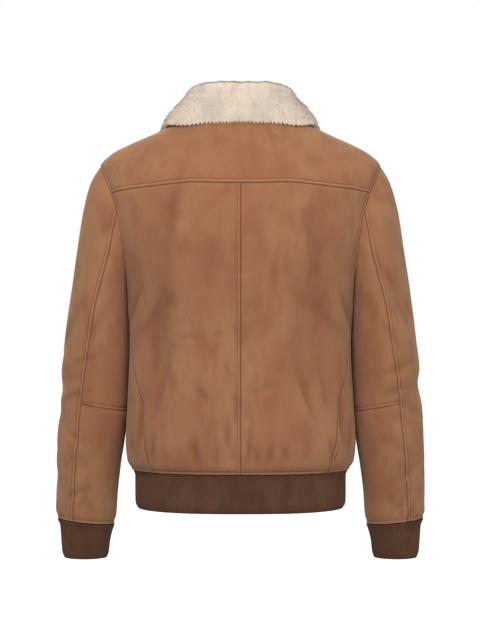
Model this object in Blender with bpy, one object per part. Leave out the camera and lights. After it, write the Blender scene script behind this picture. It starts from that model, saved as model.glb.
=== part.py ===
"""Suede blouson jacket with a shearling collar and rib-knit cuffs and hem, hollow as when worn.

Metres. +Z is up, the back faces +Y and the left sleeve is on +X. The origin is on the neck's
axis, about level with the back neck seam. Every cloth piece is a closed wall: an outer grid of
points on the garment's surface, the same grid moved inwards, and a strip round the edge.
"""

import math

import bpy
import numpy as np

# Driving sizes
WALL = 0.003  # suede with its backing, and the doubled rib knit
SEAM_GAP = 0.0003  # between two pieces at a seam
HEM_RIB_HEIGHT = 0.064
FRONT_EDGE = 0.006  # from the centre line to each front's edge, where the zip shows
TAPE_WIDTH = 0.0155
TAPE_THICKNESS = 0.001
SHARP_EDGE = 40.0  # degrees
SIDES = (("left", 1), ("right", -1))

# The body is a stack of rings round the wearer, each named by its height at the side seam. A ring
# is a rounded rectangle: its half width, its depth to the back and to the front, and how square it
# is. Above the shoulder tip the rings climb the shoulders to the neck seam.
BODY_COLUMNS = (
    "side_height",
    "half_width",
    "back_height",
    "back_depth",
    "front_height",
    "front_depth",
    "squareness",
)
BODY_SECTIONS = (
    (-0.574, 0.1800, -0.576, 0.1240, -0.576, 0.1320, 2.50),  # hem seam
    (-0.558, 0.1890, -0.560, 0.1330, -0.560, 0.1430, 2.55),  # blousing over the rib
    (-0.525, 0.1925, -0.527, 0.1380, -0.527, 0.1500, 2.60),
    (-0.450, 0.1885, -0.452, 0.1360, -0.452, 0.1500, 2.60),  # waist
    (-0.370, 0.1850, -0.372, 0.1360, -0.371, 0.1490, 2.60),
    (-0.310, 0.1868, -0.315, 0.1395, -0.311, 0.1475, 2.60),  # chest
    (-0.272, 0.1900, -0.280, 0.1415, -0.274, 0.1440, 2.60),  # armpit
    (-0.190, 0.2075, -0.212, 0.1415, -0.208, 0.1340, 2.60),
    (-0.115, 0.2250, -0.145, 0.1330, -0.152, 0.1210, 2.50),  # across the shoulder blades
    (-0.068, 0.2335, -0.100, 0.1220, -0.118, 0.1100, 2.35),  # shoulder tip
    (-0.048, 0.2160, -0.078, 0.1140, -0.106, 0.1040, 2.25),
    (-0.031, 0.1840, -0.057, 0.1050, -0.096, 0.0990, 2.20),
    (-0.0125, 0.1436, -0.033, 0.0940, -0.086, 0.0940, 2.15),
    (0.014, 0.0850, 0.004, 0.0750, -0.070, 0.0850, 2.10),  # neck seam
)
HEM_LEVEL = -0.574
ARMPIT_LEVEL = -0.272
SHOULDER_LEVEL = -0.068
NECK_LEVEL = 0.014
YOKE_LEVEL = -0.071  # at the centre back
SIDE_SEAM_SWING = 33.0  # degrees that the side seam moves to the back by the hem
SHOULDER_SEAM_SWING = 9.0  # degrees that the shoulder seam moves to the front by the neck
SEAM_HOLD = 0.02  # height over which folds die out at the hem seam
NECK_HOLD = 0.10  # and at the neck

# Grid of the panels
SIDE_SEAM_ROWS = 11
SHOULDER_ROWS = 6
BACK_COLUMNS = 10
FRONT_COLUMNS = 11
LEVEL_SHARE = 0.4  # of a row that stays level before it turns to meet the armhole
LEVEL_TURN = 1.7

# The rib hangs from the hem seam: drop below the seam, and what it takes off each half size.
HEM_RIB_COLUMNS = ("drop", "taper")
HEM_RIB_ROWS = (
    (0.000, 0.0000),
    (0.010, 0.0035),
    (0.032, 0.0035),
    (0.056, 0.0040),
    (HEM_RIB_HEIGHT, 0.0085),
)

# Armhole, in degrees of the ring round the body and the same heights as above
ARMHOLE_HALF_ANGLE = 20.0
ARMHOLE_STEPS = 20
YOKE_END_STEP = 3  # the yoke seam meets the armhole this many steps behind the shoulder tip
HIND_SEAM_STEP = 4
FRONT_SEAM_STEP = -5

# Rings of the sleeve from the armhole to the cuff seam: its outer and inner line in the back view,
# the middle of its depth and half of its depth.
SLEEVE_COLUMNS = ("outer_x", "outer_z", "inner_x", "inner_z", "middle_y", "half_depth")
SLEEVE_SECTIONS = (
    (0.2335, -0.068, 0.1900, -0.272, 0.000, 0.0700),  # armhole
    (0.2500, -0.095, 0.1925, -0.283, -0.001, 0.0740),
    (0.2640, -0.143, 0.1915, -0.298, -0.003, 0.0765),
    (0.2750, -0.210, 0.1890, -0.325, -0.004, 0.0755),
    (0.2855, -0.280, 0.1875, -0.357, -0.005, 0.0725),  # biceps
    (0.2945, -0.345, 0.1872, -0.395, -0.006, 0.0690),
    (0.3015, -0.410, 0.1897, -0.440, -0.008, 0.0660),
    (0.3050, -0.456, 0.1917, -0.478, -0.010, 0.0640),  # elbow seam
    (0.3085, -0.505, 0.1945, -0.522, -0.014, 0.0610),
    (0.3108, -0.555, 0.2015, -0.566, -0.020, 0.0580),
    (0.3118, -0.605, 0.2070, -0.612, -0.028, 0.0555),
    (0.3122, -0.642, 0.2105, -0.650, -0.034, 0.0530),  # wrist
    (0.3080, -0.661, 0.2165, -0.671, -0.037, 0.0480),  # cuff seam
)
ELBOW_RING = 7
CUFF_RING = 12
RINGS_PER_SECTION = 2
CAP_FADE_RING = 4.0  # by here the sleeve has lost the armhole's own shape
CAP_HOLD_RINGS = 1.5  # folds grow from the armhole over these
CUFF_HOLD_RINGS = 1.0  # and die out at the cuff seam over these

# Sleeve seams in degrees round the ring (0 outer, 90 back, 180 inner, -90 front), by ring
SLEEVE_SEAM_COLUMNS = ("ring", "hind_angle", "front_angle")
SLEEVE_SEAMS = (
    (0.0, 72.0, -90.0),
    (2.0, 92.0, -100.0),
    (4.0, 84.0, -110.0),
    (7.0, 74.0, -112.0),
    (12.0, 67.0, -106.0),
)

# Rings of the cuff below its seam, with the sleeve's columns
CUFF_SECTIONS = (
    (0.3035, -0.672, 0.2205, -0.682, -0.038, 0.0420),
    (0.3020, -0.694, 0.2245, -0.699, -0.040, 0.0390),
    (0.3005, -0.716, 0.2270, -0.719, -0.042, 0.0370),
    (0.2970, -0.727, 0.2300, -0.727, -0.043, 0.0340),
)

# Collar, by the angle from the centre back: the fold line at its top (out from the neck's axis and
# up), the body level that its lower edge lies on, how far that edge has swung forward, its fleece.
COLLAR_COLUMNS = ("angle", "fold_radius", "fold_height", "edge_level", "edge_angle", "fleece")
COLLAR_SECTIONS = (
    (0.0, 0.0815, 0.0535, 0.0125, 0.0, 0.0120),
    (35.0, 0.0830, 0.0545, 0.0080, 35.0, 0.0120),
    (60.0, 0.0835, 0.0505, 0.0000, 60.0, 0.0120),
    (90.0, 0.0800, 0.0400, -0.0030, 90.0, 0.0115),
    (120.0, 0.0830, 0.0220, -0.0230, 117.0, 0.0115),
    (145.0, 0.0900, -0.0080, -0.0560, 136.0, 0.0115),
    (171.0, 0.0960, -0.0380, -0.1050, 149.0, 0.0110),
)
COLLAR_STATIONS = 33
FOLD_RADIUS = 0.0045  # of the skin side, at the top
FOLD_TURNS = (150.0, 90.0, 30.0)  # round the fold, from the stand to the fall
STAND_STEPS = 4
FALL_STEPS = 5
FALL_BOW = (0.0040, 0.0024)  # how far the fall bows outwards and upwards
SEAM_FLEECE = 0.85  # share of the fleece's depth at the neck seam
EDGE_FLEECE = 0.80  # and at the lower edge
COLLAR_LIFT = 0.0018  # of the lower edge off the panels

# Largest folds. Angle round the body (negative on the wearer's right) or round the sleeve, height
# of the middle, half length, half width, lean from upright in degrees, height of the ridge (a
# trough where negative).
FOLD_COLUMNS = ("angle", "height", "half_length", "half_width", "lean", "ridge")
BODY_FOLDS = (
    (-40, -0.505, 0.060, 0.016, -32, -0.0050),
    (-33, -0.520, 0.055, 0.017, -26, 0.0040),
    (-66, -0.490, 0.070, 0.022, 12, -0.0045),
    (66, -0.500, 0.060, 0.020, -12, -0.0045),
    (30, -0.530, 0.040, 0.015, 10, -0.0035),
    (8, -0.535, 0.035, 0.013, -8, -0.0030),
    (-8, -0.300, 0.130, 0.030, 6, -0.0025),
    (34, -0.290, 0.120, 0.035, -14, 0.0030),
    (-40, -0.280, 0.110, 0.032, 16, 0.0030),
    (60, -0.240, 0.080, 0.022, -28, -0.0040),
    (-60, -0.240, 0.080, 0.022, 28, -0.0040),
    (125, -0.510, 0.070, 0.020, 24, -0.0050),
    (-125, -0.505, 0.075, 0.020, -20, -0.0050),
    (150, -0.530, 0.045, 0.017, -12, -0.0040),
    (-148, -0.535, 0.045, 0.017, 14, -0.0040),
    (122, -0.250, 0.090, 0.024, 30, -0.0045),
    (-122, -0.250, 0.090, 0.024, -30, -0.0045),
    (140, -0.350, 0.110, 0.034, 12, 0.0035),
    (-142, -0.360, 0.110, 0.034, -10, 0.0035),
)
SLEEVE_FOLDS_LEFT = (
    (40, -0.430, 0.045, 0.016, 62, -0.0045),
    (20, -0.485, 0.045, 0.017, -66, -0.0045),
    (-40, -0.450, 0.055, 0.018, 72, -0.0055),
    (100, -0.560, 0.050, 0.016, 56, -0.0035),
    (30, -0.600, 0.040, 0.014, -60, -0.0035),
    (50, -0.220, 0.070, 0.022, 22, -0.0040),
    (-60, -0.250, 0.070, 0.022, -24, -0.0045),
)
SLEEVE_FOLDS_RIGHT = (
    (45, -0.300, 0.060, 0.018, 30, -0.0045),
    (25, -0.440, 0.050, 0.017, -62, -0.0045),
    (60, -0.500, 0.045, 0.016, 60, -0.0040),
    (-45, -0.460, 0.055, 0.018, 70, -0.0055),
    (95, -0.590, 0.045, 0.015, -54, -0.0035),
    (40, -0.620, 0.035, 0.013, 64, -0.0030),
    (-60, -0.240, 0.070, 0.022, -26, -0.0045),
)
BODY_MEAN_RADIUS = 0.165
SLEEVE_MEAN_RADIUS = 0.060

# Zip
SLIDER_LEVEL = -0.020
SLIDER_LENGTH = 0.0130
SLIDER_WIDTH = 0.0100
SLIDER_THICKNESS = 0.0030
BRIDGE_RISE = 0.0036
BRIDGE_WIDTH = 0.0026
BRIDGE_BAR = 0.0010
BRIDGE_POST = 0.0022  # length of the bridge's upper post
BRIDGE_SILL = 0.0003  # under its window
BRIDGE_LAND = 0.0012  # of the slider's plate below the bridge
PULL_WIDTH = 0.0080
PULL_LENGTH = 0.0300
PULL_THICKNESS = 0.0016
PULL_SIDE = 0.0016  # of the frame round the pull's eye
PULL_EYE_LENGTH = 0.0066
BOX_WIDTH = 0.0110
BOX_HEIGHT = 0.0100
BOX_THICKNESS = 0.0032

SUEDE_TAN = (0.345, 0.168, 0.088)
RIB_BROWN = (0.098, 0.047, 0.028)
FLEECE_CREAM = (0.800, 0.660, 0.510)
TAPE_BROWN = (0.070, 0.040, 0.026)
ZIP_METAL = (0.420, 0.330, 0.220)


def clear_scene():
    for item in list(bpy.data.objects):
        bpy.data.objects.remove(item, do_unlink=True)


def finish_material(name, colour, roughness, metallic=0.0):
    finish = bpy.data.materials.new(name)
    finish.use_nodes = True
    shader = finish.node_tree.nodes["Principled BSDF"]
    shader.inputs["Base Color"].default_value = (*colour, 1.0)
    shader.inputs["Roughness"].default_value = roughness
    shader.inputs["Metallic"].default_value = metallic
    return finish


def unit(vectors):
    lengths = np.linalg.norm(vectors, axis=-1, keepdims=True)
    return vectors / np.maximum(lengths, 1e-12)


def smooth_columns(keys, table):
    """A function that runs smoothly, without overshoot, through the table's rows at the keys."""
    keys = np.asarray(keys, float)
    table = np.asarray(table, float)
    steps = np.diff(keys)[:, None]
    rises = np.diff(table, axis=0) / steps
    slopes = np.zeros_like(table)
    slopes[0] = rises[0]
    slopes[-1] = rises[-1]
    before, after = rises[:-1], rises[1:]
    same_way = before * after > 0
    total = np.where(same_way, before + after, 1.0)
    slopes[1:-1] = np.where(same_way, 2.0 * before * after / total, 0.0)

    def at(key):
        key = min(max(key, keys[0]), keys[-1])
        row = min(int(np.searchsorted(keys, key, side="right")) - 1, len(keys) - 2)
        step = keys[row + 1] - keys[row]
        part = (key - keys[row]) / step
        square, cube = part * part, part * part * part
        return (
            (2 * cube - 3 * square + 1) * table[row]
            + (cube - 2 * square + part) * step * slopes[row]
            + (3 * square - 2 * cube) * table[row + 1]
            + (cube - square) * step * slopes[row + 1]
        )

    return at


body_section = smooth_columns([row[0] for row in BODY_SECTIONS], BODY_SECTIONS)
sleeve_section = smooth_columns(range(len(SLEEVE_SECTIONS)), SLEEVE_SECTIONS)
sleeve_seam = smooth_columns([row[0] for row in SLEEVE_SEAMS], SLEEVE_SEAMS)
collar_section = smooth_columns([row[0] for row in COLLAR_SECTIONS], COLLAR_SECTIONS)


def ease(part):
    part = min(max(part, 0.0), 1.0)
    return part * part * (3.0 - 2.0 * part)


def fold_height(folds, angle, height, radius):
    """How far the folds lift the surface at this angle in degrees and this height."""
    lift = 0.0
    for fold_angle, middle, half_length, half_width, lean, ridge in folds:
        turn = (angle - fold_angle + 180.0) % 360.0 - 180.0
        across = math.radians(turn) * radius
        up = height - middle
        slant = math.radians(lean)
        along = up * math.cos(slant) + across * math.sin(slant)
        beside = across * math.cos(slant) - up * math.sin(slant)
        lift += ridge * math.exp(-((along / half_length) ** 2) - (beside / half_width) ** 2)
    return lift


def body_point(angle, level):
    """A point of the body's outer surface, at this angle in degrees from the centre back."""
    section = dict(zip(BODY_COLUMNS, body_section(level)))
    turn = math.radians(angle)
    sine, cosine = math.sin(turn), math.cos(turn)
    facing = "back" if cosine >= 0 else "front"
    depth = section[facing + "_depth"]
    power = section["squareness"]
    reach = abs(sine / section["half_width"]) ** power + abs(cosine / depth) ** power
    radius = reach ** (-1.0 / power)
    to_middle = (radius * cosine / depth) ** 2
    height = section["side_height"]
    height += (section[facing + "_height"] - height) * to_middle
    hold = ease((level - HEM_LEVEL) / SEAM_HOLD) * ease((NECK_LEVEL - level) / NECK_HOLD)
    radius += hold * fold_height(BODY_FOLDS, angle, height, BODY_MEAN_RADIUS)
    return np.array((radius * sine, radius * cosine, height))


def armhole_place(step):
    """Angle and level of a step of the armhole: 0 at the shoulder tip, on round the back."""
    turn = 2.0 * math.pi * step / ARMHOLE_STEPS
    middle = (SHOULDER_LEVEL + ARMPIT_LEVEL) / 2.0
    reach = (SHOULDER_LEVEL - ARMPIT_LEVEL) / 2.0
    return 90.0 - ARMHOLE_HALF_ANGLE * math.sin(turn), middle + reach * math.cos(turn)


def side_seam_angle(level):
    """The seam drops from the armpit and swings towards the back as it goes down."""
    part = (ARMPIT_LEVEL - level) / (ARMPIT_LEVEL - HEM_LEVEL)
    return 90.0 - SIDE_SEAM_SWING * math.sin(part * math.pi / 2.0)


def shoulder_seam_angle(level):
    part = (level - SHOULDER_LEVEL) / (NECK_LEVEL - SHOULDER_LEVEL)
    return 90.0 + SHOULDER_SEAM_SWING * ease(part)


def front_edge_angle(level):
    depth = body_section(level)[BODY_COLUMNS.index("front_depth")]
    return 180.0 - math.degrees(FRONT_EDGE / depth)


def outer_edge():
    """The side seam, both halves of the armhole and the shoulder seam, in (angle, level)."""
    seam_levels = np.linspace(HEM_LEVEL, ARMPIT_LEVEL, SIDE_SEAM_ROWS + 1)
    side = [(side_seam_angle(level), level) for level in seam_levels]
    half = ARMHOLE_STEPS // 2
    back_armhole = [armhole_place(step) for step in range(half - 1, 0, -1)]
    front_armhole = [armhole_place(step) for step in range(half + 1, ARMHOLE_STEPS)]
    shoulder_levels = np.linspace(SHOULDER_LEVEL, NECK_LEVEL, SHOULDER_ROWS + 1)
    shoulder = [(shoulder_seam_angle(level), level) for level in shoulder_levels]
    return side, back_armhole, front_armhole, shoulder


def seam_droop(across):
    """How far along a row has come from the centre's level to the edge's: late, near the edge."""
    return max((across - LEVEL_SHARE) / (1.0 - LEVEL_SHARE), 0.0) ** LEVEL_TURN


def rows_between(edge, centre_levels, columns, centre_angle):
    """Grid rows from the centre line out to the edge, in (angle, level)."""
    rows = []
    for (edge_angle, edge_level), centre_level in zip(edge, centre_levels):
        row = []
        for column in range(columns + 1):
            across = column / columns
            inner = centre_angle(centre_level)
            angle = inner + (edge_angle - inner) * across
            level = centre_level + (edge_level - centre_level) * seam_droop(across)
            row.append((angle, level))
        rows.append(row)
    return rows


def body_grid(rows, side):
    return np.array([[body_point(side * angle, level) for angle, level in row] for row in rows])


def back_panel(side):
    side_edge, back_armhole, _, _ = outer_edge()
    rows_above = len(back_armhole) - YOKE_END_STEP + 1
    edge = side_edge + back_armhole[:rows_above]
    centre = np.linspace(HEM_LEVEL, YOKE_LEVEL, len(edge))
    rows = rows_between(edge, centre, BACK_COLUMNS, lambda level: 0.0)
    return body_grid(rows, side)


def yoke_panel():
    _, back_armhole, _, shoulder = outer_edge()
    edge = back_armhole[len(back_armhole) - YOKE_END_STEP :] + shoulder
    centre = np.linspace(YOKE_LEVEL, NECK_LEVEL, len(edge))
    rows = rows_between(edge, centre, BACK_COLUMNS, lambda level: 0.0)
    left = body_grid(rows, 1)
    right = body_grid(rows, -1)
    return np.concatenate([right[:, :0:-1], left], axis=1)


def front_panel(side):
    side_edge, _, front_armhole, shoulder = outer_edge()
    edge = side_edge + front_armhole + shoulder
    levels = [level for _, level in edge]
    return body_grid(rows_between(edge, levels, FRONT_COLUMNS, front_edge_angle), side)


def hem_angles():
    """Angles of every grid line that reaches the hem seam, from one front edge round to the other."""
    seam = side_seam_angle(HEM_LEVEL)
    edge = front_edge_angle(HEM_LEVEL)
    back = [seam * column / BACK_COLUMNS for column in range(BACK_COLUMNS + 1)]
    front = [edge + (seam - edge) * column / FRONT_COLUMNS for column in range(FRONT_COLUMNS)]
    half = back + front[::-1]
    return [-angle for angle in half[:0:-1]] + half


def rib_point(angle, drop, taper):
    top = body_point(angle, HEM_LEVEL)
    flat = np.array((top[0], top[1], 0.0))
    return top - unit(flat) * taper - np.array((0.0, 0.0, drop))


def hem_panel():
    grid = []
    for drop, taper in HEM_RIB_ROWS:
        grid.append([rib_point(angle, drop, taper) for angle in hem_angles()])
    return np.array(grid)


def ring_point(section, angle):
    """A point of a sleeve ring of the wearer's left arm, before folds."""
    outer_x, outer_z, inner_x, inner_z, middle_y, half_depth = section
    turn = math.radians(angle)
    across, along = math.cos(turn), math.sin(turn)
    return np.array(
        (
            (outer_x + inner_x) / 2.0 + (outer_x - inner_x) / 2.0 * across,
            middle_y + half_depth * along,
            (outer_z + inner_z) / 2.0 + (outer_z - inner_z) / 2.0 * across,
        )
    )


def armhole_point(angle, side):
    step = angle / 360.0 * ARMHOLE_STEPS
    body_angle, level = armhole_place(step)
    point = body_point(side * body_angle, level)
    return point * (side, 1, 1)


def sleeve_point(angle, ring, side):
    """A point of the sleeve's outer surface, at this angle round it and this ring down it."""
    point = ring_point(sleeve_section(ring), angle)
    fade = 1.0 - ease(ring / CAP_FADE_RING)
    if fade > 0.0:
        seat = armhole_point(angle, side) - ring_point(SLEEVE_SECTIONS[0], angle)
        point = point + seat * fade
    folds = SLEEVE_FOLDS_LEFT if side > 0 else SLEEVE_FOLDS_RIGHT
    turn = math.radians(angle)
    clear_of_body = ease((math.cos(turn) + 0.75) / 0.9)
    hold = ease(ring / CAP_HOLD_RINGS) * ease((CUFF_RING - ring) / CUFF_HOLD_RINGS) * clear_of_body
    lift = hold * fold_height(folds, angle, point[2], SLEEVE_MEAN_RADIUS)
    point = point + lift * np.array((math.cos(turn), math.sin(turn), 0.0))
    return point * (side, 1, 1)


def sleeve_rings(first, last):
    return np.linspace(first, last, (last - first) * RINGS_PER_SECTION + 1)


def sleeve_angles(ring):
    """Angles of the grid lines round a ring: over the top sleeve, then under the arm."""
    _, hind, front = sleeve_seam(ring)
    top_steps = HIND_SEAM_STEP - FRONT_SEAM_STEP
    under_steps = ARMHOLE_STEPS - top_steps
    top = np.linspace(front, hind, top_steps + 1)
    under = np.linspace(hind, 360.0 + front, under_steps + 1)
    return top, under


def sleeve_panel(side, first, last, over_top):
    grid = []
    for ring in sleeve_rings(first, last):
        top, under = sleeve_angles(ring)
        angles = top if over_top else under
        grid.append([sleeve_point(angle, ring, side) for angle in angles])
    return np.array(grid)


def cuff_panel(side):
    top, under = sleeve_angles(CUFF_RING)
    angles = np.concatenate([top, under[1:-1]])
    grid = [[sleeve_point(angle, CUFF_RING, side) for angle in angles]]
    for section in CUFF_SECTIONS:
        grid.append([ring_point(section, angle) * (side, 1, 1) for angle in angles])
    return np.array(grid)


class Panel:
    """One cut piece: its outer grid, its sewn edges (for a column, ranges of rows) and its side.

    outward is 1 where rows crossed with columns point out of the garment, and -1 where they point in.
    """

    def __init__(self, name, grid, sewn, finish, tube=False, outward=1):
        self.name = name
        self.grid = grid
        self.sewn = sewn
        self.finish = finish
        self.tube = tube
        self.outward = outward
        self.normals = np.zeros_like(grid)

    def keys(self):
        return [[tuple(np.round(point, 6)) for point in row] for row in self.grid]

    def quads(self):
        rows, columns = self.grid.shape[:2]
        for row in range(rows - 1):
            for column in range(columns if self.tube else columns - 1):
                beside = (column + 1) % columns
                yield (row, column), (row, beside), (row + 1, beside), (row + 1, column)


def share_normals(panels):
    """Gives the points that panels share at a seam one normal, so that their walls meet."""
    sums = {}
    for panel in panels:
        keys = panel.keys()
        for corners in panel.quads():
            a, b, c, d = (panel.grid[corner] for corner in corners)
            normal = unit(np.cross(c - a, d - b)) * panel.outward
            for row, column in corners:
                key = keys[row][column]
                sums[key] = sums.get(key, np.zeros(3)) + normal
    return {key: unit(total) for key, total in sums.items()}


def spread_normals(panels, normals):
    for panel in panels:
        for row, keys in enumerate(panel.keys()):
            for column, key in enumerate(keys):
                panel.normals[row, column] = normals[key]


def mitre(body_normals, sleeve_normals):
    """At the armhole both walls take the direction between their own two."""
    for key in set(body_normals) & set(sleeve_normals):
        between = unit(body_normals[key] + sleeve_normals[key])
        reach = 1.0 / max(0.6, float(between @ body_normals[key]))
        body_normals[key] = between * reach
        sleeve_normals[key] = between * reach


def parted(points, sewn):
    """The points with each sewn edge drawn back by half of the seam's gap."""
    moved = points.copy()
    half = SEAM_GAP / 2.0
    if "first_row" in sewn:
        moved[0] += unit(points[1] - points[0]) * half
    if "last_row" in sewn:
        moved[-1] += unit(points[-2] - points[-1]) * half
    for name, edge, beside in (("first_column", 0, 1), ("last_column", -1, -2)):
        for start, end in sewn.get(name, ()):
            moved[start:end, edge] += unit(points[start:end, beside] - points[start:end, edge]) * half
    return moved


def add_object(name, vertices, faces, finish):
    mesh = bpy.data.meshes.new(name)
    mesh.from_pydata([tuple(map(float, vertex)) for vertex in vertices], [], faces)
    mesh.materials.append(finish)
    mesh.validate()
    mesh.shade_smooth()
    mesh.set_sharp_from_angle(angle=math.radians(SHARP_EDGE))
    item = bpy.data.objects.new(name, mesh)
    bpy.context.scene.collection.objects.link(item)
    return item


BORDER_ORDER = np.array((0.31, 0.17, 1.0))  # any direction that no border quad is level along


def build_wall(panel, wall=WALL):
    outer = parted(panel.grid, panel.sewn)
    inner = parted(panel.grid - wall * panel.normals, panel.sewn)
    rows, columns = panel.grid.shape[:2]
    count = rows * columns
    vertices = np.concatenate([outer.reshape(-1, 3), inner.reshape(-1, 3)])
    faces = []

    def index(row, column):
        return row * columns + column

    def add(corners):
        faces.append(tuple(corners) if panel.outward > 0 else tuple(reversed(corners)))

    for corners in panel.quads():
        numbers = [index(*corner) for corner in corners]
        add(numbers)
        add([number + count for number in reversed(numbers)])
    points = panel.grid.reshape(-1, 3)

    def add_border(first, second):
        """The strip between outer and inner, cut the same way on both pieces at a seam."""
        if points[first] @ BORDER_ORDER < points[second] @ BORDER_ORDER:
            add([first, second, second + count])
            add([first, second + count, first + count])
        else:
            add([first, second, first + count])
            add([second, second + count, first + count])

    for column in range(columns if panel.tube else columns - 1):
        beside = (column + 1) % columns
        add_border(index(0, beside), index(0, column))
        add_border(index(rows - 1, column), index(rows - 1, beside))
    if not panel.tube:
        for row in range(rows - 1):
            add_border(index(row, 0), index(row + 1, 0))
            add_border(index(row + 1, columns - 1), index(row, columns - 1))
    return add_object(panel.name, vertices, faces, panel.finish)


def body_panels(suede, rib):
    side_rows = SIDE_SEAM_ROWS + 1
    front_rows = side_rows + ARMHOLE_STEPS // 2 - 1
    panels = []
    for name, side in SIDES:
        back = back_panel(side)
        sewn = {"first_row": True, "last_row": True}
        sewn["first_column"] = [(0, len(back))]
        sewn["last_column"] = [(0, side_rows)]
        panels.append(Panel("back_" + name, back, sewn, suede, outward=-side))
        front = front_panel(side)
        sewn = {"first_row": True, "last_column": [(0, side_rows), (front_rows, len(front))]}
        panels.append(Panel("front_" + name, front, sewn, suede, outward=side))
    yoke = yoke_panel()
    shoulder = [(YOKE_END_STEP, len(yoke))]
    sewn = {"first_row": True, "first_column": shoulder, "last_column": shoulder}
    panels.append(Panel("back_yoke", yoke, sewn, suede, outward=-1))
    panels.append(Panel("hem_rib", hem_panel(), {"first_row": True}, rib))
    return panels


def sleeve_panels(name, side, suede, rib):
    panels = []
    pieces = (
        ("top_sleeve_", 0, CUFF_RING, True),
        ("under_sleeve_upper_", 0, ELBOW_RING, False),
        ("under_sleeve_lower_", ELBOW_RING, CUFF_RING, False),
    )
    for piece, first, last, over_top in pieces:
        grid = sleeve_panel(side, first, last, over_top)
        rows = [(0, len(grid))]
        sewn = {"last_row": True, "first_column": rows, "last_column": rows}
        if first > 0:
            sewn["first_row"] = True
        panels.append(Panel(piece + name, grid, sewn, suede, outward=-side))
    cuff = Panel("cuff_rib_" + name, cuff_panel(side), {"first_row": True}, rib, True, -side)
    return panels + [cuff]


def build_cloth(suede, rib):
    body = body_panels(suede, rib)
    body_normals = share_normals(body)
    arms = []
    for name, side in SIDES:
        panels = sleeve_panels(name, side, suede, rib)
        normals = share_normals(panels)
        mitre(body_normals, normals)
        spread_normals(panels, normals)
        arms.append((side, panels))
    spread_normals(body, body_normals)
    for panel in body:
        build_wall(panel)
    for side, panels in arms:
        for panel in panels:
            starts_at_armhole = panel.name.startswith(("top_", "under_sleeve_upper"))
            if starts_at_armhole:
                panel.grid[0] += (side * SEAM_GAP, 0.0, 0.0)
            build_wall(panel)
    return {panel.name: panel for panel in body}


def body_normal(angle, level):
    small_angle, small_level = 0.5, 0.0008
    around = body_point(angle + small_angle, level) - body_point(angle - small_angle, level)
    up = body_point(angle, level + small_level) - body_point(angle, level - small_level)
    normal = unit(np.cross(up, around))
    outwards = np.array((math.sin(math.radians(angle)), math.cos(math.radians(angle)), 0.3))
    return normal if normal @ outwards > 0 else -normal


def collar_profile(angle):
    """Skin side and fleece side of the collar at one station, from the neck seam to the edge."""
    reading = dict(zip(COLLAR_COLUMNS, collar_section(abs(angle))))
    hand = 1 if angle >= 0 else -1
    seam = body_point(angle, NECK_LEVEL)
    seam_radius, seam_height = math.hypot(seam[0], seam[1]), seam[2] + SEAM_GAP
    edge_angle = reading["edge_angle"]
    lift = body_normal(hand * edge_angle, reading["edge_level"]) * COLLAR_LIFT
    edge = body_point(hand * edge_angle, reading["edge_level"]) + lift
    edge_radius, edge_height = math.hypot(edge[0], edge[1]), edge[2]
    top = np.array((reading["fold_radius"], reading["fold_height"] - FOLD_RADIUS))
    skin, shares = [], []
    for step in range(STAND_STEPS):
        part = step / STAND_STEPS
        start = np.array((seam_radius, seam_height))
        skin.append(start + (top - (FOLD_RADIUS, 0.0) - start) * part)
        shares.append(0.0)
    for turn in FOLD_TURNS:
        around = np.array((math.cos(math.radians(turn)), math.sin(math.radians(turn))))
        skin.append(top + around * FOLD_RADIUS)
        shares.append(0.0)
    end = np.array((edge_radius, edge_height))
    start = top + (FOLD_RADIUS, 0.0)
    for step in range(FALL_STEPS):
        part = (step + 0.5) / (FALL_STEPS - 0.5)
        skin.append(start + (end - start) * part + np.array(FALL_BOW) * math.sin(math.pi * part))
        shares.append(part)
    skin = np.array(skin)
    along = unit(np.gradient(skin, axis=0))
    outwards = np.stack([-along[:, 1], along[:, 0]], axis=1)
    depth = np.full(len(skin), reading["fleece"])
    depth[0] *= SEAM_FLEECE
    depth[-1] *= EDGE_FLEECE
    fleece = skin + outwards * depth[:, None]
    turns = [math.radians(angle + (hand * edge_angle - angle) * share) for share in shares]
    return skin, fleece, turns


def build_collar(finish):
    front_end = COLLAR_SECTIONS[-1][0]
    stations = [collar_profile(a) for a in np.linspace(-front_end, front_end, COLLAR_STATIONS)]
    loops = []
    for skin, fleece, turns in stations:
        loop = list(zip(skin, turns)) + list(zip(fleece[::-1], turns[::-1]))
        loops.append([(r * math.sin(t), r * math.cos(t), z) for (r, z), t in loop])
    count = len(loops[0])
    vertices = [vertex for loop in loops for vertex in loop]
    faces = []
    for station in range(len(loops) - 1):
        for point in range(count):
            beside = (point + 1) % count
            a, b = station * count + point, station * count + beside
            faces.append((a, b, b + count, a + count))
    layers = count // 2
    last = (len(loops) - 1) * count
    for point in range(layers - 1):
        facing = count - 1 - point
        end = (point, facing, facing - 1, point + 1)
        faces.append(end)
        faces.append(tuple(last + number for number in reversed(end)))
    add_object("shearling_collar", vertices, faces, finish)


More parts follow.
